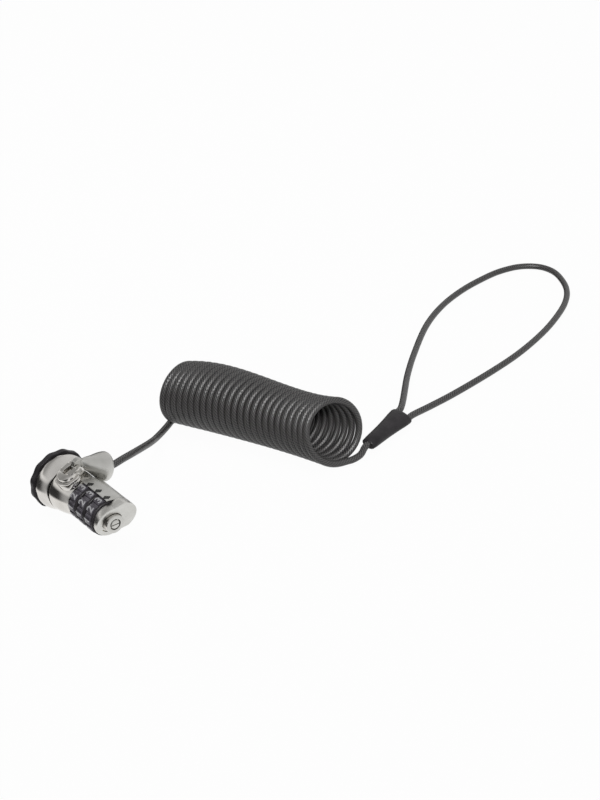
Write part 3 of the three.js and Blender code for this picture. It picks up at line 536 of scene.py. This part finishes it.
digit_silver = finish("digit_silver", (0.5, 0.5, 0.52), (0.66, 0.66, 0.68), 0.3, (0.25, 0.4), 2, 0.2, 0.004)
mark_black = finish("mark_black", (0.004, 0.004, 0.004), (0.01, 0.01, 0.01), 0, (0.4, 0.55), 2, 0.2, 0.004)
black_plastic.node_tree.nodes["Principled BSDF"].inputs["Specular IOR Level"].default_value = 0.2
print("finishes", len(bpy.data.materials))

# %% The cable's jacket
# The wires of the rope cross in a fine hatch under the jacket. The jacket is smoky and smooth, so
# the hatch shows as shade, with a shallow bump.
smoke_jacket = bpy.data.materials.new("smoke_jacket")
smoke_jacket.use_nodes = True
tree = smoke_jacket.node_tree
shader = tree.nodes["Principled BSDF"]
shader.inputs["Roughness"].default_value = 0.36
shader.inputs["Specular IOR Level"].default_value = 0.5
cable_map = node(tree, "UVMap")
cable_map.uv_map = "along_cable"


def winding(strands, lay):
    """Stripes that wind round the cable: how many, and how many pass per cable girth of length."""
    steer = along_way(tree, (strands * 2 * math.pi, lay * 2 * math.pi, 0))
    wave = node(tree, "Math")
    wave.operation = "SINE"
    wire(tree, (cable_map.outputs["UV"], steer.inputs[0]), (steer.outputs["Value"], wave.inputs[0]))
    return wave


strand_wave = winding(7, 7)
wire_wave = winding(9, -8)
wire_share = 0.7
sum_wave = node(tree, "Math")
sum_wave.operation = "MULTIPLY_ADD"
sum_wave.inputs[1].default_value = wire_share
shades = node(tree, "MapRange", From_Min=-1 - wire_share, From_Max=1 + wire_share)
tint = two_shades(tree, 0.35, (0.002, 0.002, 0.003), 0.75, (0.075, 0.072, 0.07))
relief = node(tree, "Bump", Distance=0.1 * mm, Strength=0.8)
wire(
    tree,
    (wire_wave.outputs[0], sum_wave.inputs[0]),
    (strand_wave.outputs[0], sum_wave.inputs[2]),
    (sum_wave.outputs[0], shades.inputs["Value"]),
    (shades.outputs["Result"], tint.inputs["Fac"]),
    (shades.outputs["Result"], relief.inputs["Height"]),
    (tint.outputs["Color"], shader.inputs["Base Color"]),
    (relief.outputs["Normal"], shader.inputs["Normal"]),
)
for piece in (main_cable, loop_cable):
    piece.data.materials.append(smoke_jacket)
print("jacket nodes", len(tree.nodes))

# %% [markdown]
# ## Tools for turned metal
# The head's pieces come off a lathe. A lathe piece starts as a circle across its axis, which is
# extruded station by station and resized to each new radius, in edit mode.

# %% Helpers for modelling with operators
def clear_selection():
    """Back to object mode with nothing selected."""
    if bpy.context.object and bpy.context.object.mode != "OBJECT":
        bpy.ops.object.mode_set(mode="OBJECT")
    bpy.ops.object.select_all(action="DESELECT")


def begin(name):
    """Names the fresh primitive and opens it in edit mode with everything selected."""
    piece = bpy.context.object
    piece.name = piece.data.name = name
    bpy.ops.object.mode_set(mode="EDIT")
    bpy.ops.mesh.select_all(action="SELECT")
    return piece


def choose(piece):
    """Only this piece is selected and active, in object mode."""
    clear_selection()
    piece.select_set(True)
    bpy.context.view_layer.objects.active = piece


def settle(piece):
    """The piece's place goes into its mesh, with doubles merged and faces pointing out."""
    choose(piece)
    bpy.ops.object.transform_apply(location=True, rotation=True, scale=True)
    bpy.ops.object.mode_set(mode="EDIT")
    bpy.ops.mesh.select_all(action="SELECT")
    bpy.ops.mesh.remove_doubles(threshold=0.000002)
    bpy.ops.mesh.normals_make_consistent(inside=False)
    bpy.ops.object.mode_set(mode="OBJECT")
    return piece


def apply_modifier(piece, kind, **values):
    """Adds one modifier with its values and applies it."""
    choose(piece)
    modifier = piece.modifiers.new(kind.lower(), kind)
    for key, value in values.items():
        setattr(modifier, key, value)
    bpy.ops.object.modifier_apply(modifier=modifier.name)
    return piece


def cut_away(piece, *tools):
    """Cuts tools out of the piece."""
    for tool in tools:
        apply_modifier(piece, "BOOLEAN", operation="DIFFERENCE", solver="EXACT", object=tool)
        bpy.data.objects.remove(tool)
    return piece


def join_with(piece, *others):
    """Makes one solid of the piece and others."""
    for other in others:
        apply_modifier(piece, "BOOLEAN", operation="UNION", solver="EXACT", object=other)
        bpy.data.objects.remove(other)
    return piece


def round_edges(piece, width, segments=3, corner=32):
    """Rounds sharp edges by a width in millimetres and smooths the shading."""
    if width:
        apply_modifier(piece, "BEVEL", width=width * mm, segments=segments, limit_method="ANGLE",
                       angle_limit=math.radians(corner), use_clamp_overlap=True)
    choose(piece)
    bpy.ops.object.shade_smooth_by_angle(angle=math.radians(35))
    return piece


def merged(pieces):
    """Pieces that don't have to be one solid, as one object."""
    clear_selection()
    for piece in pieces:
        piece.select_set(True)
    bpy.context.view_layer.objects.active = pieces[0]
    bpy.ops.object.join()
    return bpy.context.object


def paint(piece, *finishes):
    """Gives the piece its finishes, one to a material slot."""
    for material in finishes:
        piece.data.materials.append(material)


def turned(name, outline, origin=None, direction=inward, sides=96, hollow=False):
    """A lathe piece from (radius, distance) stations in millimetres along a direction."""
    origin = on_axis(0) if origin is None else origin
    (r, d), *rest = outline
    filling = "NOTHING" if hollow else "NGON"
    clear_selection()
    bpy.ops.mesh.primitive_circle_add(vertices=sides, radius=r * mm, fill_type=filling,
                                      location=origin + direction * d * mm,
                                      rotation=direction.to_track_quat("Z", "Y").to_euler())
    piece = begin(name)
    for r1, d1 in rest:
        bpy.ops.mesh.extrude_region_move(TRANSFORM_OT_translate={"value": direction * (d1 - d) * mm})
        bpy.ops.transform.resize(value=(r1 / r,) * 3, center_override=origin + direction * d1 * mm)
        r, d = r1, d1
    return settle(piece)


print("tools ready")

# %% [markdown]
# ## Drum and turning knob
# The drum is a turned nickel shell with a rounded rim and a crowned side. Behind it sits the black
# knob, a disc with twelve shallow lobes that fingers turn to lock the anchor.

# %% The drum
drum = turned("drum_skin", [
    (10.3, 0.0), (12.7, 0.0), (13.05, 0.12), (13.3, 0.4), (13.4, 0.8), (13.4, 2.2), (13.32, 2.7),
    (13.12, 3.6), (12.82, 4.6), (12.45, 5.6), (12.05, 6.6), (11.7, 7.4), (11.42, 7.9), (11.3, 8.0),
    (10.3, 8.0), (10.3, 0.0),
], hollow=True, sides=128)
paint(drum, turned_nickel)
round_edges(drum, 0)
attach(drum, "head")
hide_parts("drum_shell")
print("drum", len(drum.data.polygons), "faces")

# %% The knob
lobes = 12
per_lobe = 12
knob_radius = 14.4
knob_valley = 13.9
knob_thickness = 2.6
knob_bore_share = 6.6 / 14
knob_back = -2.9
clear_selection()
bpy.ops.mesh.primitive_circle_add(vertices=lobes * per_lobe, radius=knob_radius * mm, fill_type="NOTHING",
                                  location=on_axis(knob_back), rotation=(math.pi / 2, 0, 0))
knob = begin("scalloped_knob")
for index in range(lobes * per_lobe):
    bpy.ops.mesh.select_all(action="DESELECT")
    work = bmesh.from_edit_mesh(knob.data)
    work.verts.ensure_lookup_table()
    vertex = work.verts[index]
    spot = knob.matrix_world @ vertex.co - on_axis(knob_back)
    swing = 0.5 - 0.5 * math.cos(lobes * math.atan2(spot.z, spot.x))
    vertex.select = True
    work.select_flush(True)
    bmesh.update_edit_mesh(knob.data)
    rim = knob_valley + (knob_radius - knob_valley) * swing
    bpy.ops.transform.resize(value=(rim / knob_radius,) * 3, center_override=on_axis(knob_back))
bpy.ops.mesh.select_all(action="SELECT")
bpy.ops.mesh.extrude_region_move(TRANSFORM_OT_translate={"value": inward * knob_thickness * mm})
bpy.ops.mesh.extrude_region_move(TRANSFORM_OT_translate={"value": (0, 0, 0)})
bpy.ops.transform.resize(value=(knob_bore_share,) * 3, center_override=on_axis(knob_back + knob_thickness))
bpy.ops.mesh.extrude_region_move(TRANSFORM_OT_translate={"value": -inward * knob_thickness * mm})
bpy.ops.object.mode_set(mode="OBJECT")
print("knob rings", len(knob.data.vertices) // (lobes * per_lobe))

# %% Close the knob's outer face, round it, and cut a shallow ring in it
choose(knob)
bpy.ops.object.mode_set(mode="EDIT")
bpy.ops.mesh.select_all(action="DESELECT")
bpy.ops.mesh.select_non_manifold(extend=False, use_wire=False, use_boundary=True,
                                 use_multi_face=False, use_non_contiguous=False, use_verts=False)
bpy.ops.mesh.bridge_edge_loops()
settle(knob)
ring_tool = turned("ring_tool", [(8.2, -3.5), (9.4, -3.5), (9.4, -2.6), (8.2, -2.6), (8.2, -3.5)],
                   hollow=True)
cut_away(knob, ring_tool)
paint(knob, black_plastic)
round_edges(knob, 0.45, segments=4)
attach(knob, "anchor")
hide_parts("turn_knob")
print("knob", len(knob.data.polygons), "faces")

# %% [markdown]
# ## Housing
# The neck behind the drum carries the swivel's boss and runs out into a spine behind the dials.
# Its outline is an egg: a circle round the axis, and a smaller one towards the spine, joined by
# straight sides. Each station of the loft is extruded, and its two arcs are resized about their
# own centres.

# %% Egg-shaped lofts
spine_tilt = math.radians(14)
spine_way = Vector((math.cos(spine_tilt), 0, math.sin(spine_tilt)))
side_lean = math.radians(71)


def pick(piece, depth, wanted):
    """Selects the vertices at a depth that wanted approves of, by their place from the axis."""
    work = bmesh.from_edit_mesh(piece.data)
    for vertex in work.verts:
        spot = (piece.matrix_world @ vertex.co - on_axis(depth)) / mm
        vertex.select = abs(spot.y) < 0.001 and wanted(spot, vertex)
    work.select_flush(True)
    bmesh.update_edit_mesh(piece.data)


def egg_shape(piece, depth, before, after):
    """Turns the egg at a depth from one (barrel, reach, nose) to the next."""
    (b0, r0, n0), (b1, r1, n1) = before, after
    nose_start = (r0 - n0 + (b0 + n0) * math.cos(side_lean)) / 2
    nose_middle = on_axis(depth) + spine_way * (r0 - n0) * mm
    pick(piece, depth, lambda spot, vertex: spot.dot(spine_way) > nose_start)
    bpy.ops.transform.resize(value=(n1 / n0,) * 3, center_override=nose_middle)
    bpy.ops.transform.translate(value=spine_way * ((r1 - n1) - (r0 - n0)) * mm)
    pick(piece, depth, lambda spot, vertex: not vertex.select)
    bpy.ops.transform.resize(value=(b1 / b0,) * 3, center_override=on_axis(depth))
    pick(piece, depth, lambda spot, vertex: True)


def egg_loft(name, stations, sides=96):
    """A closed loft through (depth, barrel, reach, nose) stations in millimetres."""
    depth, *egg = stations[0]
    round_egg = (egg[0], egg[0], egg[0])
    clear_selection()
    turn = Matrix.Rotation(-spine_tilt, 4, "Y") @ Matrix.Rotation(math.pi / 2, 4, "X")
    bpy.ops.mesh.primitive_circle_add(vertices=sides, radius=egg[0] * mm, fill_type="NGON",
                                      location=on_axis(depth), rotation=turn.to_euler())
    piece = begin(name)
    egg_shape(piece, depth, round_egg, egg)
    bpy.ops.mesh.select_mode(type="VERT")
    for next_depth, *next_egg in stations[1:]:
        step = inward * (next_depth - depth) * mm
        bpy.ops.mesh.extrude_region_move(TRANSFORM_OT_translate={"value": step})
        egg_shape(piece, next_depth, egg, next_egg)
        depth, egg = next_depth, next_egg
    return settle(piece)


neck = egg_loft("housing_neck", [
    (8.6, 11.1, 11.15, 11.1), (8.85, 11.2, 11.25, 11.15), (10.0, 11.12, 11.3, 10.95),
    (11.5, 10.95, 11.45, 10.6), (13.2, 10.65, 11.65, 10.05), (15, 10.2, 11.85, 9.5),
    (16.9, 9.6, 12.05, 8.75), (18.7, 8.9, 12.2, 8.0), (20.1, 8.35, 12.3, 7.45), (20.4, 8.2, 12.2, 7.3),
])
print("neck", len(neck.data.polygons), "faces", [round(v * 1000, 1) for v in neck.dimensions])

# %% The spine
spine = egg_loft("housing_spine", [
    (19.8, 9.75, 12.3, 7.4), (39.9, 9.75, 12.3, 7.4), (40.3, 9.6, 12.2, 7.3), (40.5, 9.35, 11.95, 7.1),
])
dial_room = turned("dial_room", [(9.1, 20.35), (9.1, 42)])
cut_away(spine, dial_room)
choose(spine)
bpy.ops.object.mode_set(mode="EDIT")
bpy.ops.mesh.select_all(action="SELECT")
spine_edge = 1.9
bpy.ops.mesh.bisect(plane_co=on_axis(30) + spine_way * spine_edge * mm, plane_no=spine_way,
                    clear_inner=True, use_fill=True)
settle(spine)
print("spine", len(spine.data.polygons), "faces")

# %% The swivel's boss, and the rooms cut in the housing
swivel_tilt = math.radians(21)
post_way = Vector((-math.sin(swivel_tilt), 0, math.cos(swivel_tilt)))
post_foot = on_axis(14.7)
boss = turned("swivel_boss", [(5.6, 6), (5.5, 10.6), (5.4, 10.78), (5.2, 10.85)], origin=post_foot,
              direction=post_way, sides=72)
housing = join_with(neck, boss, spine)
housing.name = housing.data.name = "housing_skin"
print("housing", len(housing.data.polygons), "faces")


def oval_loft(name, stations, sides, spare=0.0):
    """A loft along +X through (along, half width, half height, above), wider all round by spare."""
    along, wide, high, above = stations[0]
    centre = (along * mm, 0, above * mm)
    clear_selection()
    bpy.ops.mesh.primitive_circle_add(vertices=sides, radius=mm, fill_type="NGON", location=centre,
                                      rotation=(0, math.pi / 2, 0))
    piece = begin(name)
    bpy.ops.transform.resize(value=(1, wide + spare, high + spare), center_override=centre)
    for along1, wide1, high1, above1 in stations[1:]:
        step = Vector((along1 - along, 0, above1 - above)) * mm
        growth = (1, (wide1 + spare) / (wide + spare), (high1 + spare) / (high + spare))
        bpy.ops.mesh.extrude_region_move(TRANSFORM_OT_translate={"value": step})
        bpy.ops.transform.resize(value=growth, center_override=(along1 * mm, 0, above1 * mm))
        along, wide, high, above = along1, wide1, high1, above1
    return settle(piece)


def arm_horn(name, spare=0.0):
    """The arm's flared horn, lying from the pivot along the arm, or the room round it."""
    piece = oval_loft(name, [
        (2.38 - spare, 1.1, 2.7, 1.9), (3.4, 1.7, 2.85, 1.95), (4.6, 2.5, 3.0, 2.0), (6.2, 3.25, 3.5, 1.75),
        (8.2, 4.2, 4.2, 1.3), (10, 5.1, 5.05, 0.9), (11.9, 6.0, 5.9, 0.5), (13.4, 6.6, 6.5, 0.2),
        (14.8, 6.9, 6.9, 0), (15.7, 6.9, 6.9, 0), (16.3, 6.65, 6.65, 0), (16.75, 6.2, 6.2, 0),
        (arm_reach + spare, 5.5, 5.5, 0),
    ], 72, spare)
    piece.matrix_world = Matrix.Translation(pivot) @ Matrix.Rotation(arm_droop, 4, "Y")
    return settle(piece)


swing_centre = Matrix.Translation(post_foot)
swing_room = 0.35
for degrees in (-11, -5, 0, 4, 9):
    room = arm_horn("horn_room", swing_room)
    swing = Matrix.Rotation(math.radians(degrees), 4, post_way)
    room.matrix_world = swing_centre @ swing @ swing_centre.inverted()
    cut_away(housing, settle(room))
bore = turned("spring_bore", [(4.3, 13.4), (4.3, 22)])
shank_hole = turned("shank_hole", [(2.35, 5.5), (2.35, 14)], origin=post_foot, direction=post_way, sides=40)
cut_away(housing, bore, shank_hole)
paint(housing, bright_nickel, satin_nickel)
round_edges(housing, 0.22, segments=2, corner=40)
neck_end, spine_start, spine_reach = 20.2, 12, 6
for face in housing.data.polygons:
    middle_depth = (rim_y - face.center.y) / mm
    outward = (face.center - on_axis(0)).dot(spine_way) / mm
    on_spine = middle_depth > neck_end or (outward > spine_reach and middle_depth > spine_start)
    face.material_index = 1 if on_spine else 0
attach(housing, "head")
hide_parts("head_body")
print("housing", len(housing.data.polygons), "faces")

# %% [markdown]
# ## End cap, button and code screw
# The cap closes the dial stack. Its face is slanted, so it stands out further at the top and on
# the spine's side. The button comes through it, with a small slotted screw in its middle that
# sets a new code.

# %% The cap
cap = egg_loft("cap_skin", [
    (40.8, 7.8, 12.3, 8.3), (41.1, 7.95, 12.35, 8.4), (43.3, 7.85, 12.32, 8.35), (43.7, 7.75, 12.3, 8.3),
])
choose(cap)
bpy.ops.object.mode_set(mode="EDIT")
work = bmesh.from_edit_mesh(cap.data)
slant_across, slant_up = 0.06, 0.26
slant_start = 43.1
for vertex in work.verts:
    spot = (vertex.co - on_axis(slant_start)) / mm
    if spot.y < 0:
        vertex.co += inward * (slant_across * spot.x + slant_up * spot.z) * mm
bmesh.update_edit_mesh(cap.data)
settle(cap)
button_room = turned("button_room", [(5.6, 40), (5.6, 42.6)])
button_hole = turned("button_hole", [(4.85, 42), (4.85, 47)])
cut_away(cap, button_room, button_hole)
paint(cap, satin_nickel, lit_side_nickel)
round_edges(cap, 0.3, segments=3, corner=30)
# The face takes the satin nickel and the sides take its lighter copy, a painted highlight on the sides.
for face in cap.data.polygons:
    face.material_index = 0 if face.normal.y < -0.8 else 1
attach(cap, "head")
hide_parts("end_cap")
print("cap", len(cap.data.polygons), "faces")

# %% The button and its screw
button = turned("button_skin", [
    (5.25, 41.5), (5.25, 42.2), (4.5, 42.2), (4.5, 45.9), (4.42, 46.2), (4.2, 46.36), (3.9, 46.4),
])
socket = turned("screw_socket", [(2.7, 44.8), (2.7, 48)], sides=48)
spindle_socket = turned("spindle_socket", [(2.2, 41), (2.2, 42.9)], sides=48)
cut_away(button, socket, spindle_socket)
paint(button, bright_nickel, satin_nickel)
round_edges(button, 0.08, segments=2)
for face in button.data.polygons:
    face.material_index = 1 if face.normal.y < -0.6 else 0
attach(button, "plunger")
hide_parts("push_button")
screw = turned("slotted_screw", [(2.15, 45.1), (2.15, 46.2), (2.0, 46.4), (1.8, 46.45)], sides=48)
clear_selection()
bpy.ops.mesh.primitive_cube_add(size=1, location=on_axis(46.5), scale=(8 * mm, 1.3 * mm, 0.55 * mm))
cut_away(screw, settle(begin("slot_tool")))
paint(screw, satin_nickel)
round_edges(screw, 0.06, segments=2)
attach(screw, "code_setter")
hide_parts("code_screw")
print("button", len(button.data.polygons), "screw", len(screw.data.polygons), "faces")

# %% [markdown]
# ## Number dials
# Each dial is a ring with ten raised pads. A pad carries one digit, and a notch between two pads
# clicks over the detent leaf. The digits count up round the ring, with their tops to the drum.

# %% One dial
first_dial = 20.7
dial_pitch = 6.8
dial_turn = math.radians(211)
digit_count = 10
digit_size = 5.7
digit_boldness = 0.09
digit_relief = 0.06
pad_radius = 8.75
pad_middle = 2.45
notch_radius = 1.0
notch_middle = 9.05


def dial_way(steps):
    """The way from the axis to a digit's middle, so many digits round from the first."""
    angle = dial_turn - 2 * math.pi * steps / digit_count
    return Vector((math.cos(angle), 0, math.sin(angle)))


def number_dial(name, start):
    """A dial from its inner edge: the hub is turned, and the pads are cut from a wider ring."""
    hub = turned(name, [
        (5.9, start), (7.2, start), (7.55, start + 0.12), (7.7, start + 0.3), (7.7, start + 4.7),
        (8.3, start + 4.85), (8.45, start + 5.0), (8.45, start + 5.9), (8.3, start + 6.1),
        (8.0, start + 6.2), (5.9, start + 6.2), (5.9, start),
    ], hollow=True, sides=120)
    pads = turned("pad_ring", [
        (7.4, start + 0.3), (8.4, start + 0.3), (8.65, start + 0.42), (pad_radius, start + 0.7),
        (pad_radius, start + 4.2), (8.65, start + 4.48), (8.4, start + 4.6), (7.4, start + 4.6),
        (7.4, start + 0.3),
    ], hollow=True, sides=120)
    clear_selection()
    notches = []
    for k in range(digit_count):
        place = on_axis(start + pad_middle) + dial_way(0.5 - k) * notch_middle * mm
        bpy.ops.mesh.primitive_cylinder_add(vertices=20, radius=notch_radius * mm, depth=5.4 * mm,
                                            rotation=(math.pi / 2, 0, 0), location=place)
        notches.append(bpy.context.object)
    cut_away(pads, settle(merged(notches)))
    for part, index in ((hub, 1), (pads, 0)):
        paint(part, dial_black, black_plastic)
        for face in part.data.polygons:
            face.material_index = index
    join_with(hub, pads)
    return round_edges(hub, 0.1, segments=2, corner=35)


# %% The digits
def digit_ring(name, start):
    """Ten digits on the pads of a dial, lying on the surface, as one mesh."""
    digits = []
    for k in range(digit_count):
        clear_selection()
        bpy.ops.object.text_add()
        text = bpy.context.object
        text.data.body = str(k)
        text.data.align_x = "CENTER"
        text.data.align_y = "CENTER"
        text.data.size = digit_size * mm
        text.data.offset = digit_boldness * mm
        text.data.extrude = digit_relief * mm
        text.data.resolution_u = 4
        bpy.ops.object.convert(target="MESH")
        digit = bpy.context.object
        out = dial_way(k)
        up = Vector((0, 1, 0))
        right = up.cross(out)
        bpy.ops.object.mode_set(mode="EDIT")
        bpy.ops.mesh.select_all(action="SELECT")
        bpy.ops.mesh.subdivide(number_cuts=1)
        bpy.ops.object.mode_set(mode="OBJECT")
        centre = on_axis(start + pad_middle)
        for vertex in digit.data.vertices:
            x, y, z = vertex.co
            bend = x / ((pad_radius + 0.05) * mm)
            radius = (pad_radius + 0.03) * mm + z
            spot = out * math.cos(bend) * radius + right * math.sin(bend) * radius
            vertex.co = centre + spot + up * y
        digits.append(digit)
    ring = merged(digits)
    ring.name = ring.data.name = name
    ring.data.materials.clear()
    paint(ring, digit_silver)
    return ring


for k in range(3):
    start = first_dial + k * dial_pitch
    dial = number_dial(f"dial_skin_{k + 1}", start)
    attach(dial, f"dial_{k + 1}")
    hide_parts(f"number_dial_{k + 1}")
    digits = digit_ring(f"dial_digits_{k + 1}", start)
    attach(digits, f"dial_{k + 1}")
    print("dial", k + 1, len(dial.data.polygons), "faces, digits", len(digits.data.polygons))

# %% The index marks
# A black lozenge on the spine's edge shows where each dial's code is read.
mark_angle = spine_tilt + math.radians(70)
mark_out = Vector((math.cos(mark_angle), 0, math.sin(mark_angle)))
mark_middle = 4.1
mark_distance = 9.7
mark_radius = 2.2
mark_height = 0.12
for k in range(3):
    clear_selection()
    centre = on_axis(first_dial + k * dial_pitch + mark_middle) + mark_out * mark_distance * mm
    bpy.ops.mesh.primitive_circle_add(vertices=4, radius=mark_radius * mm, fill_type="NGON",
                                      location=centre, rotation=mark_out.to_track_quat("Z", "Y").to_euler())
    mark = begin(f"index_mark_{k + 1}")
    bpy.ops.transform.resize(value=(1, 0.75, 1), center_override=centre)
    bpy.ops.mesh.extrude_region_move(TRANSFORM_OT_translate={"value": mark_out * mark_height * mm})
    bpy.ops.transform.resize(value=(0.9, 0.9, 0.9), center_override=centre + mark_out * mark_height * mm)
    settle(mark)
    paint(mark, mark_black)
    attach(mark, "head")
    print("mark", k + 1, "at", [round(v / mm, 1) for v in centre])

# %% [markdown]
# ## Swivel and cable arm
# A flanged post turns in the boss. Its clevis holds the pivot pin, and the arm hinges on that pin.
# The arm flares into a ferrule round the cable, with a rubber bush where the cable comes out.

# %% The post
flange = turned("post_skin", [
    (5.3, 11.2), (5.6, 11.26), (5.7, 11.4), (5.7, 12.0), (5.6, 12.2), (5.35, 12.3), (4.65, 12.32),
    (4.6, 12.5), (4.6, 13.8), (4.45, 14.08), (4.15, 14.2),
], origin=post_foot, direction=post_way, sides=72)
shank = turned("post_shank", [(2.0, 6), (2.0, 11)], origin=post_foot, direction=post_way, sides=40)
post_side = Vector((post_way.z, 0, -post_way.x))


def post_box(name, side_from, side_to, width, low, high):
    """A box on the swivel's axis: sideways, across and upwards in millimetres."""
    clear_selection()
    across = Vector((0, 1, 0))
    turn = Matrix((post_side, across, post_side.cross(across))).transposed().to_euler()
    place = post_foot + (post_side * (side_from + side_to) / 2 + post_way * (low + high) / 2) * mm
    bpy.ops.mesh.primitive_cube_add(size=1, location=place, rotation=turn,
                                    scale=((side_to - side_from) * mm, width * mm, (high - low) * mm))
    return settle(begin(name))


def cross_pin(name, radius, width, place, sides):
    """A cylinder that lies across the arm, along Y."""
    clear_selection()
    bpy.ops.mesh.primitive_cylinder_add(vertices=sides, radius=radius * mm, depth=width * mm,
                                        location=place, rotation=(math.pi / 2, 0, 0))
    return settle(begin(name))


pivot_height = (pivot - post_foot).dot(post_way) / mm
pin_radius = (pin_high.z - pin_low.z) / 2 / mm
pivot_side = 5
clevis_gap = 2.9
eye_radius = 1.7
eye_room = 0.3
tongue_width = 2.2
cheeks = post_box("post_cheeks", 0, pivot_side, 8, 12.0, pivot_height + 1.8)
eyes = cross_pin("post_eyes", 2, 7.7, pivot, 48)
post = join_with(flange, shank, cheeks, eyes)
slot_outer = post_box("clevis_slot", pivot_side - eye_radius - eye_room, 15, clevis_gap, 9.7, 30)
slot_inner = post_box("clevis_root", -1, pivot_side, clevis_gap, 12.7, 30)
pin_seat = turned("pin_seat", [(pin_radius + 0.02, -6), (pin_radius + 0.02, 6)], origin=pivot, sides=48)
cut_away(post, slot_outer, slot_inner, pin_seat)
paint(post, bright_nickel)
round_edges(post, 0.1, segments=2, corner=35)
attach(post, "swivel")
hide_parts("swivel_post")
print("post", len(post.data.polygons), "faces, pivot height", round(pivot_height, 2))

# %% The arm
arm = arm_horn("arm_skin")
eye_piece = cross_pin("arm_eye", eye_radius, tongue_width, pivot, 40)
clear_selection()
bpy.ops.mesh.primitive_cube_add(size=1, scale=(3.4 * mm, tongue_width * mm, 2.9 * mm),
                                rotation=(0, arm_droop, 0), location=arm_at(1.7))
tongue = settle(begin("arm_tongue"))
hump = cross_pin("arm_hump", 2.6, tongue_width, arm_at(0.6, 0, 2.2), 48)
join_with(arm, eye_piece, tongue, hump)
bore = turned("arm_bore", [(3.2, 10), (3.2, 18)], origin=pivot, direction=arm_direction, sides=48)
pin_hole = cross_pin("pin_hole", 1.1, 6, pivot, 32)
cut_away(arm, bore, pin_hole)
paint(arm, satin_nickel)
round_edges(arm, 0.2, segments=2, corner=38)
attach(arm, "arm")
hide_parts("cable_arm")
bush = turned("bush_skin", [(2.9, 10.3), (2.9, 17.1), (2.75, 17.45), (2.4, 17.6), (1.9, 17.55)],
              origin=pivot, direction=arm_direction, sides=48)
paint(bush, dull_rubber)
round_edges(bush, 0)
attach(bush, "arm")
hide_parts("strain_bush")
print("arm", len(arm.data.polygons), "faces")

# %% [markdown]
# ## Crimp sleeve
# The loop's end is held in a flat black sleeve, moulded over the crimp. It is narrow where the
# coil's cable comes in and wide where the loop's two strands go out.

# %% The sleeve
sleeve = oval_loft("sleeve_skin", [
    (0, 3.1, 1.9, 0), (0.5, 3.5, 2.3, 0), (3.5, 3.75, 2.9, 0), (8, 3.95, 3.0, 0), (15, 4.35, 3.0, 0),
    (22, 5.0, 3.0, 0), (28, 5.7, 3.0, 0), (31.5, 5.95, 2.9, 0), (32.6, 5.8, 2.6, 0),
    (sleeve_length, 5.4, 2.3, 0),
], 64)
frame_of_sleeve = Matrix((sleeve_along, sleeve_across, sleeve_up)).transposed().to_4x4()
sleeve.matrix_world = Matrix.Translation(from_table(sleeve_start)) @ frame_of_sleeve
settle(sleeve)
paint(sleeve, black_plastic)
round_edges(sleeve, 0)
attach(sleeve, "arm")
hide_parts("crimp_sleeve")
print("sleeve", len(sleeve.data.polygons), "faces")

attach(main_cable, "arm")
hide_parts("cable_lead", "cable_coil", "cable_tail")
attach(loop_cable, "arm")
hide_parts("cable_loop")

# %% What the front lamp lights
dials = [bpy.data.objects[f"dial_skin_{k + 1}"] for k in range(3)]
for piece in [main_cable, loop_cable, sleeve, knob, bush] + dials:
    dark_pieces.objects.link(piece)

# %% Finishes for the CAD pieces that stay
kept = {
    dark_steel: ["lock_pin_1", "lock_pin_2", "anchor_bar", "drive_cam", "cam_clip", "cap_pin_1",
                 "cap_pin_2", "detent_leaf", "lock_spindle", "return_spring", "snap_ring"],
    satin_nickel: ["pivot_pin"],
    turned_nickel: ["anchor_nose"],
    dull_rubber: ["face_pad"],
    sleeve_brass: ["dial_sleeve_1", "dial_sleeve_2", "dial_sleeve_3"],
}
for material, names in kept.items():
    for name in names:
        cad_piece = frame["nodes"][name]
        cad_piece.data.materials.clear()
        paint(cad_piece, material)
print("kept nodes", sum(len(names) for names in kept.values()))

# %% [markdown]
# The return spring sits between its pocket in the head and a collar on the spindle. When the button goes in
# by a millimetre, the collar comes along, so the spring is pressed together towards its pocket. Here the
# spring only gets a mesh of its own, and its length and seat are printed.

# %% The spring gets its own mesh
spring_low, spring_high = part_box("return_spring")
spring_length = (spring_high.y - spring_low.y) / mm
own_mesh(frame["nodes"]["return_spring"])
print("spring", round(spring_length, 2), "mm long, seat at y", round(spring_high.y / mm, 3))
